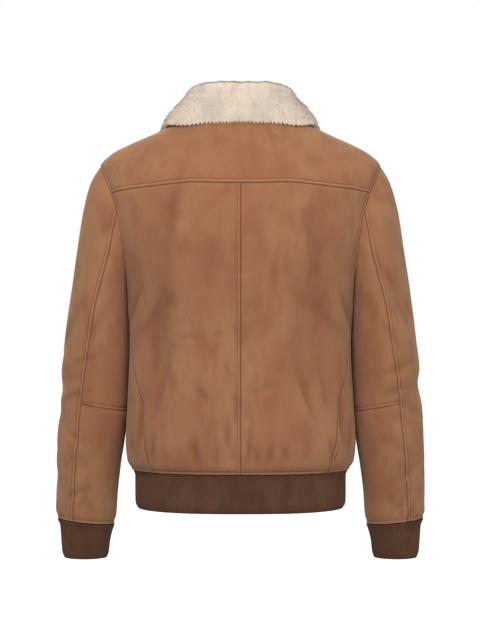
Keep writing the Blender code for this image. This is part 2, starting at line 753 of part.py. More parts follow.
def build_tape(name, side, front, rib, finish):
    """The tape lies behind its front's edge and shows in the slot between the two edges."""
    edge, beside = (-1, -2) if side > 0 else (0, 1)
    rows = [(rib, row, edge, beside) for row in range(len(rib.grid) - 1, 0, -1)]
    rows += [(front, row, 0, 1) for row in range(len(front.grid) - 1)]
    depth = WALL + SEAM_GAP
    grid, normals = [], []
    for piece, row, at_edge, next_in in rows:
        edge_normal = piece.normals[row, at_edge]
        start = piece.grid[row, at_edge] - edge_normal * depth
        towards = piece.grid[row, next_in] - piece.normals[row, next_in] * depth - start
        share = (TAPE_WIDTH - FRONT_EDGE) / abs(towards[0])
        centre = start * (0.0, 1.0, 1.0) + (side * SEAM_GAP / 2.0, 0.0, 0.0)
        grid.append([centre, start, start + towards * share])
        normals.append([edge_normal * (0, 1, 1), edge_normal, edge_normal])
    panel = Panel(name, np.array(grid), {}, finish, outward=side)
    panel.normals = unit(np.array(normals))
    build_wall(panel, wall=TAPE_THICKNESS)


def placed_on_zip(level):
    """A frame on the outside of the tapes at this level: point, outward, and down the zip."""
    normal = body_normal(180.0, level)
    normal[0] = 0.0
    normal = unit(normal)
    down = np.array((0.0, normal[2], -normal[1]))
    down = down if down[2] < 0 else -down
    point = body_point(180.0, level) * (0, 1, 1) - normal * WALL
    return point, normal, down


def add_block(name, frame, size, finish, holes=()):
    """A block in the zip's frame, sized across, outward and down the zip, with holes cut in it."""
    point, normal, down = frame
    (x0, x1), (n0, n1), (d0, d1) = size
    mesh = bpy.data.meshes.new(name)
    corners = [(x, n, d) for d in (d0, d1) for n in (n0, n1) for x in (x0, x1)]
    vertices = [np.array((x, 0.0, 0.0)) + point + normal * n + down * d for x, n, d in corners]
    faces = [(0, 2, 3, 1), (4, 5, 7, 6), (0, 1, 5, 4), (2, 6, 7, 3), (0, 4, 6, 2), (1, 3, 7, 5)]
    mesh.from_pydata([tuple(map(float, vertex)) for vertex in vertices], [], faces)
    mesh.materials.append(finish)
    item = bpy.data.objects.new(name, mesh)
    bpy.context.scene.collection.objects.link(item)
    for number, hole in enumerate(holes):
        cutter = add_block(name + "_cutter" + str(number), frame, hole, finish)
        cutter.hide_render = True
        cutter.display_type = "WIRE"
        cut = item.modifiers.new("cut" + str(number), "BOOLEAN")
        cut.operation = "DIFFERENCE"
        cut.solver = "EXACT"
        cut.object = cutter
    return item


def build_zip_metal(finish):
    half = SLIDER_LENGTH / 2.0
    frame = placed_on_zip(SLIDER_LEVEL)
    plate = SLIDER_THICKNESS
    crown = plate + BRIDGE_RISE
    wide, thin = SLIDER_WIDTH / 2.0, BRIDGE_WIDTH / 2.0
    past = 0.001  # how far a cut runs past the faces that it opens
    beside_bridge = ((thin, wide + past), (plate, crown + past), (-half - past, half + past))
    other_side = ((-wide - past, -thin), *beside_bridge[1:])
    sill = plate + BRIDGE_SILL
    under_bar = ((-wide, wide), (sill, crown - BRIDGE_BAR), (BRIDGE_POST - half, half - BRIDGE_POST))
    land = ((-wide, wide), (plate, crown + past), (half - BRIDGE_LAND, half + past))
    add_block(
        "zip_slider",
        frame,
        ((-wide, wide), (0.0, crown), (-half, half)),
        finish,
        holes=(beside_bridge, other_side, under_bar, land),
    )
    axis_height = (sill + crown - BRIDGE_BAR) / 2.0
    bar = PULL_THICKNESS / 2.0
    eye_side = PULL_WIDTH / 2.0 - PULL_SIDE
    add_block(
        "zip_pull",
        frame,
        (
            (-PULL_WIDTH / 2.0, PULL_WIDTH / 2.0),
            (axis_height - bar, axis_height + bar),
            (-bar, PULL_LENGTH),
        ),
        finish,
        holes=(((-eye_side, eye_side), (0.0, crown + past), (bar, bar + PULL_EYE_LENGTH)),),
    )


def build_zip_box(finish):
    """The box at the foot of the zip, on the tapes where they end level with the rib."""
    drop, taper = HEM_RIB_ROWS[-2]
    foot = rib_point(180.0, drop, taper) * (0, 1, 1) + (0.0, WALL, 0.0)
    frame = (foot, np.array((0.0, -1.0, 0.0)), np.array((0.0, 0.0, -1.0)))
    half = BOX_WIDTH / 2.0 - SEAM_GAP
    size = ((-half, half), (0.0, BOX_THICKNESS), (-BOX_HEIGHT / 2.0, BOX_HEIGHT / 2.0))
    add_block("zip_box", frame, size, finish)


def main():
    clear_scene()
    suede = finish_material("tan_suede", SUEDE_TAN, 0.9)
    rib = finish_material("brown_rib_knit", RIB_BROWN, 0.9)
    fleece = finish_material("cream_shearling", FLEECE_CREAM, 0.95)
    tape = finish_material("zip_tape", TAPE_BROWN, 0.85)
    metal = finish_material("zip_metal", ZIP_METAL, 0.35, 1.0)
    panels = build_cloth(suede, rib)
    build_collar(fleece)
    for name, side in SIDES:
        build_tape("zip_tape_" + name, side, panels["front_" + name], panels["hem_rib"], tape)
    build_zip_metal(metal)
    build_zip_box(metal)


main()
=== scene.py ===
"""Dresses the suede blouson: cloth shells, seams and stitches, rib knit, shearling pile and the zip.

Metres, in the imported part's frame: +Z up, the back on +Y, the left sleeve on +X. Each cloth piece is
laid over the same surface as its solid, at a finer pitch, with its seams, creases and nap.
"""

import math

import bmesh
import bpy
import numpy as np
from bpy.props import FloatProperty, FloatVectorProperty, IntProperty
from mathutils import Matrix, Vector, noise
from mathutils.bvhtree import BVHTree


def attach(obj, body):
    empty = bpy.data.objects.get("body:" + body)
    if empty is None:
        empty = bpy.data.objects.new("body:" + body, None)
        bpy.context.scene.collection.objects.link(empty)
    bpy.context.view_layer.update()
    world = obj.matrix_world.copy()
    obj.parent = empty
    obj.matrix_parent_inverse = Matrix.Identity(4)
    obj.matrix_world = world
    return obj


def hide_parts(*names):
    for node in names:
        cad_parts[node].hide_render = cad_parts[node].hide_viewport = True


bl_info = {
    "name": "Suede Blouson",
    "version": (1, 0, 0),
    "blender": (4, 5, 0),
    "location": "View3D > Sidebar > Blouson",
    "description": "Builds a suede blouson with a shearling collar, rib knit and a zip",
    "category": "Add Mesh",
}

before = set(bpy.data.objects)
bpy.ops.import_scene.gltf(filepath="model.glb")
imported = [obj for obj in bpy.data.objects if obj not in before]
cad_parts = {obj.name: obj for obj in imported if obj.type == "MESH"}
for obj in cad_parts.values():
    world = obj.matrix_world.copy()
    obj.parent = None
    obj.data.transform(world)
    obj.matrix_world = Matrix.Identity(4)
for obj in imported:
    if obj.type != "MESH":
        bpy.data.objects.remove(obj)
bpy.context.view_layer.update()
CLOTH_BODY = "garment"
PULL_BODY = "pull_tab"
SIDES = (("left", 1), ("right", -1))

# The garment's own surface, ring by ring, as its solids have it
WALL = 0.003
SEAM_GAP = 0.0003
SEWN_GAP = 0.00004
FRONT_EDGE = 0.006
BODY_SECTIONS = (
    # side height, half width, back height, back depth, front height, front depth, squareness
    (-0.574, 0.1800, -0.576, 0.1240, -0.576, 0.1320, 2.50),
    (-0.558, 0.1890, -0.560, 0.1330, -0.560, 0.1430, 2.55),
    (-0.525, 0.1925, -0.527, 0.1380, -0.527, 0.1500, 2.60),
    (-0.450, 0.1885, -0.452, 0.1360, -0.452, 0.1500, 2.60),
    (-0.370, 0.1850, -0.372, 0.1360, -0.371, 0.1490, 2.60),
    (-0.310, 0.1868, -0.315, 0.1395, -0.311, 0.1475, 2.60),
    (-0.272, 0.1900, -0.280, 0.1415, -0.274, 0.1440, 2.60),
    (-0.190, 0.2075, -0.212, 0.1415, -0.208, 0.1340, 2.60),
    (-0.115, 0.2250, -0.145, 0.1330, -0.152, 0.1210, 2.50),
    (-0.068, 0.2335, -0.100, 0.1220, -0.118, 0.1100, 2.35),
    (-0.048, 0.2160, -0.078, 0.1140, -0.106, 0.1040, 2.25),
    (-0.031, 0.1840, -0.057, 0.1050, -0.096, 0.0990, 2.20),
    (-0.0125, 0.1436, -0.033, 0.0940, -0.086, 0.0940, 2.15),
    (0.014, 0.0850, 0.004, 0.0750, -0.070, 0.0850, 2.10),
)
FRONT_DEPTH_COLUMN = 5
HEM_LEVEL = -0.574
ARMPIT_LEVEL = -0.272
SHOULDER_LEVEL = -0.068
NECK_LEVEL = 0.014
YOKE_LEVEL = -0.071
SIDE_SEAM_SWING = 33.0
SHOULDER_SEAM_SWING = 9.0
SEAM_HOLD = 0.02
NECK_HOLD = 0.10
SIDE_SEAM_ROWS = 11
SHOULDER_ROWS = 6
LEVEL_SHARE = 0.4
LEVEL_TURN = 1.7
HEM_RIB_HEIGHT = 0.064
HEM_RIB_ROWS = (
    # drop below the seam, what it takes off each half size
    (0.000, 0.0000),
    (0.010, 0.0035),
    (0.032, 0.0035),
    (0.056, 0.0040),
    (HEM_RIB_HEIGHT, 0.0085),
)
ARMHOLE_HALF_ANGLE = 20.0
ARMHOLE_STEPS = 20
YOKE_END_STEP = 3
SLEEVE_SECTIONS = (
    # outer x, outer z, inner x, inner z, middle y, half depth
    (0.2335, -0.068, 0.1900, -0.272, 0.000, 0.0700),
    (0.2500, -0.095, 0.1925, -0.283, -0.001, 0.0740),
    (0.2640, -0.143, 0.1915, -0.298, -0.003, 0.0765),
    (0.2750, -0.210, 0.1890, -0.325, -0.004, 0.0755),
    (0.2855, -0.280, 0.1875, -0.357, -0.005, 0.0725),
    (0.2945, -0.345, 0.1872, -0.395, -0.006, 0.0690),
    (0.3015, -0.410, 0.1897, -0.440, -0.008, 0.0660),
    (0.3050, -0.456, 0.1917, -0.478, -0.010, 0.0640),
    (0.3085, -0.505, 0.1945, -0.522, -0.014, 0.0610),
    (0.3108, -0.555, 0.2015, -0.566, -0.020, 0.0580),
    (0.3118, -0.605, 0.2070, -0.612, -0.028, 0.0555),
    (0.3122, -0.642, 0.2105, -0.650, -0.034, 0.0530),
    (0.3080, -0.661, 0.2165, -0.671, -0.037, 0.0480),
)
ELBOW_RING = 7.0
CUFF_RING = 12.0
CAP_FADE_RING = 4.0
CAP_HOLD_RINGS = 1.5
CUFF_HOLD_RINGS = 1.0
SLEEVE_SEAMS = (
    # ring, hind angle, front angle
    (0.0, 72.0, -90.0),
    (2.0, 92.0, -100.0),
    (4.0, 84.0, -110.0),
    (7.0, 74.0, -112.0),
    (12.0, 67.0, -106.0),
)
CUFF_SECTIONS = (
    (0.3080, -0.661, 0.2165, -0.671, -0.037, 0.0480),
    (0.3035, -0.672, 0.2205, -0.682, -0.038, 0.0420),
    (0.3020, -0.694, 0.2245, -0.699, -0.040, 0.0390),
    (0.3005, -0.716, 0.2270, -0.719, -0.042, 0.0370),
    (0.2970, -0.727, 0.2300, -0.727, -0.043, 0.0340),
)
COLLAR_SECTIONS = (
    # angle, fold radius, fold height, edge level, edge angle, fleece
    (0.0, 0.0815, 0.0535, 0.0125, 0.0, 0.0120),
    (35.0, 0.0830, 0.0545, 0.0080, 35.0, 0.0120),
    (60.0, 0.0835, 0.0505, 0.0000, 60.0, 0.0120),
    (90.0, 0.0800, 0.0400, -0.0030, 90.0, 0.0115),
    (120.0, 0.0830, 0.0220, -0.0230, 117.0, 0.0115),
    (145.0, 0.0900, -0.0080, -0.0560, 136.0, 0.0115),
    (171.0, 0.0960, -0.0380, -0.1050, 149.0, 0.0110),
)
COLLAR_END = 171.0
FOLD_RADIUS = 0.0045
FALL_BOW = (0.0040, 0.0024)
COLLAR_LIFT = 0.0018
BODY_MEAN_RADIUS = 0.165
SLEEVE_MEAN_RADIUS = 0.060
SLEEVE_CLEARANCE = 0.0003
# Below this level the sleeve hangs clear of the body. Above it, its inner side comes in to touch.
SLEEVE_PARTS_LEVEL = -0.525
SLEEVE_PARTS_FADE = 0.03
TOUCH_FIRST_RING = 0.1
TOUCH_FADE_RINGS = 0.8
TOUCH_SIDE = 0.38
TOUCH_FADE = 0.5
# Its folds fade out on the inner side, by the cosine of the angle round it
INNER_SIDE = 0.75
INNER_FADE = 0.9

# Folds and creases: angle round the body or sleeve, height of the middle, half length, half width,
# lean from upright in degrees, height of the ridge (a trough where negative).
BODY_FOLDS = (
    (-47, -0.470, 0.060, 0.013, 20, -0.0050),
    (-40, -0.500, 0.055, 0.016, 16, 0.0030),
    (-66, -0.490, 0.070, 0.022, 12, -0.0045),
    (66, -0.500, 0.060, 0.020, -12, -0.0045),
    (30, -0.530, 0.040, 0.015, 10, -0.0035),
    (8, -0.535, 0.035, 0.013, -8, -0.0030),
    (-8, -0.300, 0.130, 0.030, 6, -0.0025),
    (34, -0.290, 0.120, 0.035, -14, 0.0030),
    (-40, -0.280, 0.110, 0.032, 16, 0.0030),
    (60, -0.240, 0.080, 0.022, -28, -0.0040),
    (-60, -0.240, 0.080, 0.022, 28, -0.0040),
    (125, -0.510, 0.070, 0.020, 24, -0.0050),
    (-125, -0.505, 0.075, 0.020, -20, -0.0050),
    (150, -0.530, 0.045, 0.017, -12, -0.0040),
    (-148, -0.535, 0.045, 0.017, 14, -0.0040),
    (122, -0.250, 0.090, 0.024, 30, -0.0045),
    (-122, -0.250, 0.090, 0.024, -30, -0.0045),
    (140, -0.350, 0.110, 0.034, 12, 0.0035),
    (-142, -0.360, 0.110, 0.034, -10, 0.0035),
)
SLEEVE_FOLDS = {
    1: (
        (40, -0.430, 0.045, 0.016, 62, -0.0045),
        (20, -0.485, 0.045, 0.017, -66, -0.0045),
        (-40, -0.450, 0.055, 0.018, 72, -0.0055),
        (100, -0.560, 0.050, 0.016, 56, -0.0035),
        (30, -0.600, 0.040, 0.014, -60, -0.0035),
        (50, -0.220, 0.070, 0.022, 22, -0.0040),
        (-60, -0.250, 0.070, 0.022, -24, -0.0045),
    ),
    -1: (
        (45, -0.300, 0.060, 0.018, 30, -0.0045),
        (25, -0.440, 0.050, 0.017, -62, -0.0045),
        (60, -0.500, 0.045, 0.016, 60, -0.0040),
        (-45, -0.460, 0.055, 0.018, 70, -0.0055),
        (95, -0.590, 0.045, 0.015, -54, -0.0035),
        (40, -0.620, 0.035, 0.013, 64, -0.0030),
        (-60, -0.240, 0.070, 0.022, -26, -0.0045),
    ),
}
# Finer creases that only the dressed surface has, in the same columns
BODY_CREASES = (
    (-46, -0.270, 0.100, 0.0200, 4, -0.0042),
    (-34, -0.300, 0.080, 0.0160, 10, -0.0018),
    (-43, -0.460, 0.055, 0.0059, 18, -0.0027),
    (-52, -0.440, 0.045, 0.0068, 14, -0.0022),
    (50, -0.325, 0.105, 0.0220, -6, -0.0040),
    (43, -0.165, 0.060, 0.0085, -3, -0.0027),
    (49, -0.434, 0.055, 0.0076, -16, -0.0032),
    (38, -0.470, 0.060, 0.0102, -10, 0.0022),
    (9, -0.512, 0.026, 0.0059, 2, -0.0032),
    (3, -0.478, 0.018, 0.0068, -4, -0.0024),
    (-6, -0.532, 0.028, 0.0051, -4, -0.0032),
    (-11, -0.548, 0.015, 0.0043, 2, -0.0024),
    (30, -0.541, 0.021, 0.0059, 10, -0.0032),
    (25, -0.446, 0.019, 0.0076, 40, -0.0022),
    (20, -0.505, 0.030, 0.0085, -14, -0.0017),
    (30, -0.354, 0.022, 0.0034, 86, -0.0014),
    (14, -0.350, 0.014, 0.0034, 96, -0.0011),
    (-17, -0.437, 0.018, 0.0059, -74, -0.0017),
    (-20, -0.542, 0.020, 0.0051, -6, -0.0023),
    (-29, -0.545, 0.018, 0.0059, 10, -0.0026),
    (-22, -0.250, 0.045, 0.0059, -8, -0.0016),
    (-14, -0.200, 0.035, 0.0076, 6, -0.0016),
    (18, -0.240, 0.045, 0.0180, -10, -0.0018),
    (64, -0.505, 0.046, 0.0085, -5, -0.0044),
    (72, -0.530, 0.026, 0.0059, 8, -0.0027),
    (-65, -0.500, 0.044, 0.0085, 6, -0.0042),
    (-73, -0.530, 0.026, 0.0059, -8, -0.0027),
    (-56, -0.540, 0.024, 0.0059, 12, -0.0027),
    (54, -0.538, 0.026, 0.0059, -10, -0.0030),
    (69, -0.300, 0.040, 0.0085, -40, -0.0027),
    (-70, -0.310, 0.042, 0.0085, 38, -0.0027),
    (57, -0.330, 0.050, 0.0093, -50, -0.0022),
    (-57, -0.335, 0.046, 0.0093, 52, -0.0022),
    (48, -0.140, 0.040, 0.0140, 24, -0.0014),
    (-50, -0.145, 0.042, 0.0140, -26, -0.0014),
    (-24, -0.400, 0.070, 0.0200, -12, 0.0014),
    (106, -0.545, 0.022, 0.0059, 10, -0.0027),
    (118, -0.540, 0.024, 0.0059, -8, -0.0026),
    (133, -0.545, 0.022, 0.0059, 12, -0.0024),
    (143, -0.420, 0.070, 0.0102, 8, -0.0032),
    (157, -0.540, 0.024, 0.0059, -10, -0.0024),
    (166, -0.330, 0.060, 0.0076, 4, -0.0019),
    (-106, -0.542, 0.024, 0.0059, -10, -0.0027),
    (-119, -0.545, 0.020, 0.0051, 6, -0.0024),
    (-137, -0.540, 0.026, 0.0068, -14, -0.0027),
    (-145, -0.430, 0.065, 0.0102, -10, -0.0032),
    (-159, -0.543, 0.022, 0.0059, 8, -0.0024),
    (-165, -0.350, 0.055, 0.0076, -6, -0.0019),
    (112, -0.320, 0.046, 0.0093, 44, -0.0027),
    (-111, -0.315, 0.048, 0.0093, -42, -0.0027),
    (150, -0.200, 0.070, 0.0200, -14, -0.0020),
    (-152, -0.210, 0.072, 0.0200, 16, -0.0020),
)
SLEEVE_CREASES = {
    1: (
        (70, -0.395, 0.026, 0.006, 70, -0.0016),
        (58, -0.452, 0.028, 0.007, 74, -0.0018),
        (88, -0.470, 0.024, 0.006, -70, -0.0015),
        (64, -0.520, 0.026, 0.007, -58, -0.0016),
        (95, -0.330, 0.040, 0.009, 34, -0.0015),
        (35, -0.340, 0.045, 0.010, 30, -0.0014),
        (75, -0.615, 0.022, 0.006, 64, -0.0016),
        (102, -0.640, 0.018, 0.005, -40, -0.0015),
        (48, -0.645, 0.018, 0.006, 20, -0.0014),
        (84, -0.635, 0.018, 0.006, 12, -0.0013),
        (20, -0.640, 0.018, 0.006, -14, -0.0013),
        (78, -0.160, 0.036, 0.009, 14, -0.0014),
        (-30, -0.400, 0.030, 0.008, 66, -0.0018),
        (-62, -0.480, 0.030, 0.008, -62, -0.0018),
        (-20, -0.560, 0.028, 0.007, 58, -0.0016),
        (-75, -0.610, 0.024, 0.007, -56, -0.0016),
        (-40, -0.640, 0.018, 0.006, 8, -0.0013),
        (-80, -0.340, 0.040, 0.010, -36, -0.0016),
    ),
    -1: (
        (62, -0.270, 0.040, 0.008, 34, -0.0020),
        (52, -0.315, 0.044, 0.009, 28, -0.0020),
        (84, -0.350, 0.034, 0.008, 40, -0.0015),
        (68, -0.405, 0.026, 0.006, -68, -0.0016),
        (86, -0.445, 0.026, 0.006, -72, -0.0016),
        (54, -0.475, 0.028, 0.007, 66, -0.0016),
        (92, -0.530, 0.028, 0.007, 58, -0.0015),
        (70, -0.585, 0.026, 0.006, -60, -0.0016),
        (98, -0.630, 0.020, 0.006, 44, -0.0015),
        (58, -0.642, 0.018, 0.006, -18, -0.0014),
        (80, -0.640, 0.018, 0.005, -10, -0.0013),
        (30, -0.640, 0.018, 0.006, 12, -0.0013),
        (76, -0.165, 0.036, 0.009, -14, -0.0014),
        (-34, -0.410, 0.030, 0.008, -64, -0.0018),
        (-66, -0.470, 0.030, 0.008, 60, -0.0018),
        (-24, -0.550, 0.028, 0.007, -58, -0.0016),
        (-72, -0.600, 0.024, 0.007, 54, -0.0016),
        (-44, -0.642, 0.018, 0.006, -8, -0.0013),
        (-82, -0.350, 0.040, 0.010, 34, -0.0016),
    ),
}

# How a panel's surface goes at a seam: depth and width of the seam's valley, height of the doubled
# welt beside it, how far off its stitching runs and how deep that sinks, and how high and how far
# the panel puffs up past it.
SEAM_COLUMNS = ("valley", "valley_width", "welt", "stitch_offset", "sink", "puff", "puff_reach")
SEAM_STYLES = {
    "plain": (0.0007, 0.0007, 0.0000, 0.0060, 0.0000, 0.0024, 0.020),
    "welt": (0.0006, 0.0006, 0.0013, 0.0056, 0.0010, 0.0012, 0.026),
    "hem": (0.0026, 0.0010, 0.0013, 0.0060, 0.0008, 0.0012, 0.030),
    "side": (0.0009, 0.0008, 0.0016, 0.0062, 0.0012, 0.0012, 0.026),
    "elbow": (0.0005, 0.0006, 0.0007, 0.0050, 0.0006, 0.0012, 0.024),
}
SINK_WIDTH = 0.0011
PUFF_RISE = 0.004
SEAM_BLEND = 0.006
CREASE_GAIN = 1.7
SLEEVE_CREASE_GAIN = 2.3
PUCKER_WAVES = ((0.031, 0.45, 0.4), (0.0190, 0.35, 2.1), (0.0125, 0.30, 4.0), (0.0083, 0.20, 5.3))
PUCKER_HEIGHT = 0.00055
PUCKER_START = 0.002
PUCKER_REACH = 0.013
DRAPE_WAVES = ((11.0, 0.0011), (27.0, 0.0005))  # cycles for each metre, height
DRAPE_LENGTHENING = 0.6
DRAPE_HOLD = 0.03
# Where the grid lines lie beside a sewn edge: close enough for its valley, welt and stitching
CLOSE_STATIONS = (0.0, 0.0005, 0.0010, 0.0016, 0.0024, 0.0036)
CLOSE_STATIONS += (0.0050, 0.0058, 0.0066, 0.0074, 0.0084, 0.0105, 0.0135)

# Painted shade: how strongly the nap's colour is darkened in creases, seams and stitching, where shade
# falls, and how much a welt's crest is lightened, part rub wear and part painted highlight. A welt of
# the full height has all of it, and a lower one less.
FULL_WELT = 0.0013
CREASE_SHADE = 0.42
CREASE_FULL_SHADE = 0.0034
SEAM_SHADE = 0.60
SEAM_SHADE_WIDTH = 0.0012
STITCH_SHADE = 0.46
STITCH_SHADE_WIDTH = 0.0009
WEAR_AND_HIGHLIGHT = 0.60
WEAR_AND_HIGHLIGHT_PLACE = 0.55
WEAR_AND_HIGHLIGHT_WIDTH = 0.0017
# Colour of the painted shade, as shares of the dark suede
SHADED_SUEDE = (0.55, 0.40, 0.34)

RIB_HEIGHT = 0.0007
RIB_STEPS = 6
RIB_ROUNDNESS = 0.75
RIB_LOOP = 0.0021
RIB_SEAM_WIDTH = 0.002
RIB_SEAM_DEPTH = 0.0009
HEM_RIBS = 268
HEM_DROPS = (0.0, 0.0015, 0.004, 0.008, 0.014, 0.022, 0.031)
HEM_DROPS += (0.040, 0.048, 0.055, 0.0595, 0.0622, 0.0636, HEM_RIB_HEIGHT)
CUFF_RIBS = 66
CUFF_HEIGHT = 0.066
CUFF_RINGS = (0.0, 0.08, 0.25, 0.55, 0.9, 1.3, 1.7, 2.1, 2.5, 2.9, 3.2, 3.5, 3.8, 4.0)

# The collar's grid, and the bed under its wool: full at the fold, thin at the neck and the edge
STAND_STEPS = 12
TURN_STEPS = 8
FALL_STEPS = 26
COLLAR_COLUMNS = 241
FOLD_ROW = STAND_STEPS + TURN_STEPS // 2
CREST_ROW = FOLD_ROW + 1
EDGE_ROWS = 6
BED_FULLNESS = 0.55
CREST_FULLNESS = 0.38
CREST_FULL_ROWS = 4.5
BED_LUMPS = ((210.0, 0.0010), (70.0, 0.0010))
BED_SHARE = 0.38
SKIN_SHARE = 0.95
SKIN_DROP = 0.15
SKIN_DROP_ANGLE = 45.0

# The wool's locks: how they are combed and drawn together in tufts, and how much shorter they are
# over the crest
LOCK_LENGTHS = (0.75, 1.15)
LOCK_HALF_WIDTHS = (0.00030, 0.00052)
# Painted shade along each lock: darkest at its root corners, none at the tip
LOCK_ROOT_SHADES = (0.7, 0.7, 0.28, 0.28, 0.0)
STAND_COMB = 0.15
FALL_COMB = 1.1
COMB_LEAD = 9.0
COMB_ROWS = 14.0
CREST_COMB = 1.8
CREST_COMB_ROWS = 4.0
CREST_DROOP = 1.0
CREST_DROOP_ROWS = 3.0
CREST_SHORTENING = 0.78
EDGE_LOCK_ROWS = 5.0
TUFT_ROWS = 2.4
TUFT_COLUMNS = 2.6
TUFT_PULL = 0.24
EDGE_TUFT_PULL = 0.46
NAP_LIFT = np.array((0.0, 0.0, 0.45))
DOWN = np.array((0.0, 0.0, -1.0))

THREAD_TURN = 4
STITCH_SAMPLE = 0.0006
STITCH_SHAPE = (
    # share of the stitch, rise and swell in thread radii
    (0.06, -0.9, 0.35),
    (0.22, 0.15, 0.9),
    (0.50, 0.35, 1.0),
    (0.78, 0.15, 0.9),
    (0.94, -0.9, 0.35),
)
ZIP_TOP_GAP = 0.004
ZIP_RIB_DROPS = (0.002, 0.056)
TAPE_ROWS = 150
TAPE_THICKNESS = 0.001
TAPE_WALL = 0.0009
TAPE_WIDTH = 0.0155
ZIP_SAMPLES = 600
TOOTH_PITCH = 0.0025
TEETH_TOP = 0.032
TEETH_FOOT = 0.010
TOOTH_SECTIONS = (
    # off the middle line, half length along the zip, half height
    (-0.00045, 0.00030, 0.0008),
    (0.00020, 0.00058, 0.0011),
    (0.00120, 0.00050, 0.0012),
    (0.00250, 0.00070, 0.0012),
    (0.00290, 0.00050, 0.0009),
)
METAL_BEVEL = 0.0003
FLAT_ANGLE = math.radians(2)
SHARP_ANGLE = 0.5

CAMERA_PLACE = (0.00084, 3.2, -0.325)
PICTURE_HEIGHT = 1.0752
SENSOR = 36.0
FLOOR_HALF = 30.0
FLOOR_LEVEL = -1.25
LIGHTS = (
    # name, place, target, side of the square, watts
    ("key", (0.65, 2.9, 2.1), (0.0, 0.0, -0.30), 1.1, 78.0),
    ("broad", (-1.5, 3.7, 0.3), (0.0, 0.0, -0.35), 2.4, 50.0),
    ("front_fill", (0.6, -2.6, 1.2), (0.0, 0.0, -0.30), 1.8, 72.0),
)


def ease(part):
    part = np.clip(part, 0.0, 1.0)
    return part * part * (3.0 - 2.0 * part)


def unit(vectors):
    return vectors / np.maximum(np.linalg.norm(vectors, axis=-1, keepdims=True), 1e-12)


def run_along(points):
    """How far along a curve each of its points lies."""
    steps = np.linalg.norm(np.diff(points, axis=0), axis=1)
    return np.concatenate([[0.0], np.cumsum(steps)])


def point_at(place, run, points):
    return np.stack([np.interp(place, run, points[:, axis]) for axis in range(3)], -1)


def smooth_columns(table, keys=None):
    """A function that runs smoothly, without overshoot, through the table's rows.

    Its key is a number in the table's first column, unless other keys are given.
    """
    table = np.asarray(table, float)
    keys = table[:, 0] if keys is None else np.asarray(keys, float)
    rises = np.diff(table, axis=0) / np.diff(keys)[:, None]
    slopes = np.zeros_like(table)
    slopes[0], slopes[-1] = rises[0], rises[-1]
    before, after = rises[:-1], rises[1:]
    same_way = before * after > 0
    sums = np.where(same_way, before + after, 1.0)
    slopes[1:-1] = np.where(same_way, 2.0 * before * after / sums, 0.0)

    def at(key):
        key = np.clip(np.asarray(key, float), keys[0], keys[-1])
        row = np.clip(np.searchsorted(keys, key, side="right") - 1, 0, len(keys) - 2)
        step = (keys[row + 1] - keys[row])[..., None]
        part = (key - keys[row])[..., None] / step
        square, cube = part**2, part**3
        low_slope, high_slope = slopes[row], slopes[row + 1]
        start = (2 * cube - 3 * square + 1) * table[row] + (cube - 2 * square + part) * step * low_slope
        end = (3 * square - 2 * cube) * table[row + 1] + (cube - square) * step * high_slope
        return start + end

    return at


body_section = smooth_columns(BODY_SECTIONS)
sleeve_section = smooth_columns(SLEEVE_SECTIONS, range(len(SLEEVE_SECTIONS)))
cuff_section = smooth_columns(CUFF_SECTIONS, range(len(CUFF_SECTIONS)))
sleeve_seam = smooth_columns(SLEEVE_SEAMS)
collar_section = smooth_columns(COLLAR_SECTIONS)
hem_rib_section = smooth_columns(HEM_RIB_ROWS)


def fold_height(folds, angle, height, radius):
    """Sum of the folds' ridges and troughs at these angles round the form and these heights."""
    lift = np.zeros_like(angle)
    for fold_angle, middle, half_length, half_width, lean, ridge in folds:
        turn = (angle - fold_angle + 180.0) % 360.0 - 180.0
        across = np.radians(turn) * radius
        up = height - middle
        slant = math.radians(lean)
        along = up * math.cos(slant) + across * math.sin(slant)
        beside = across * math.cos(slant) - up * math.sin(slant)
        lift += ridge * np.exp(-((along / half_length) ** 2) - (beside / half_width) ** 2)
    return lift


def body_points(angle, level):
    """Points of the body's outer surface, at these angles from the centre back and these levels."""
    angle, level = np.broadcast_arrays(np.asarray(angle, float), np.asarray(level, float))
    columns = np.moveaxis(body_section(level), -1, 0)
    side_height, half_width, back_height, back_depth, front_height, front_depth, squareness = columns
    sine, cosine = np.sin(np.radians(angle)), np.cos(np.radians(angle))
    at_back = cosine >= 0
    depth = np.where(at_back, back_depth, front_depth)
    facing_height = np.where(at_back, back_height, front_height)
    reach = np.abs(sine / half_width) ** squareness + np.abs(cosine / depth) ** squareness
    radius = reach ** (-1.0 / squareness)
    height = side_height + (facing_height - side_height) * (radius * cosine / depth) ** 2
    hold = ease((level - HEM_LEVEL) / SEAM_HOLD) * ease((NECK_LEVEL - level) / NECK_HOLD)
    lift = fold_height(BODY_FOLDS, angle, height, BODY_MEAN_RADIUS)
    lift = lift + fold_height(BODY_CREASES, angle, height, BODY_MEAN_RADIUS) * CREASE_GAIN
    radius = radius + hold * lift
    return np.stack([radius * sine, radius * cosine, height], axis=-1)


def armhole_place(step):
    turn = 2.0 * math.pi * np.asarray(step, float) / ARMHOLE_STEPS
    middle = (SHOULDER_LEVEL + ARMPIT_LEVEL) / 2.0
    reach = (SHOULDER_LEVEL - ARMPIT_LEVEL) / 2.0
    return 90.0 - ARMHOLE_HALF_ANGLE * np.sin(turn), middle + reach * np.cos(turn)


def side_seam_angle(level):
    part = (ARMPIT_LEVEL - level) / (ARMPIT_LEVEL - HEM_LEVEL)
    return 90.0 - SIDE_SEAM_SWING * np.sin(part * math.pi / 2.0)


def front_edge_angle(level):
    return 180.0 - np.degrees(FRONT_EDGE / body_section(level)[..., FRONT_DEPTH_COLUMN])


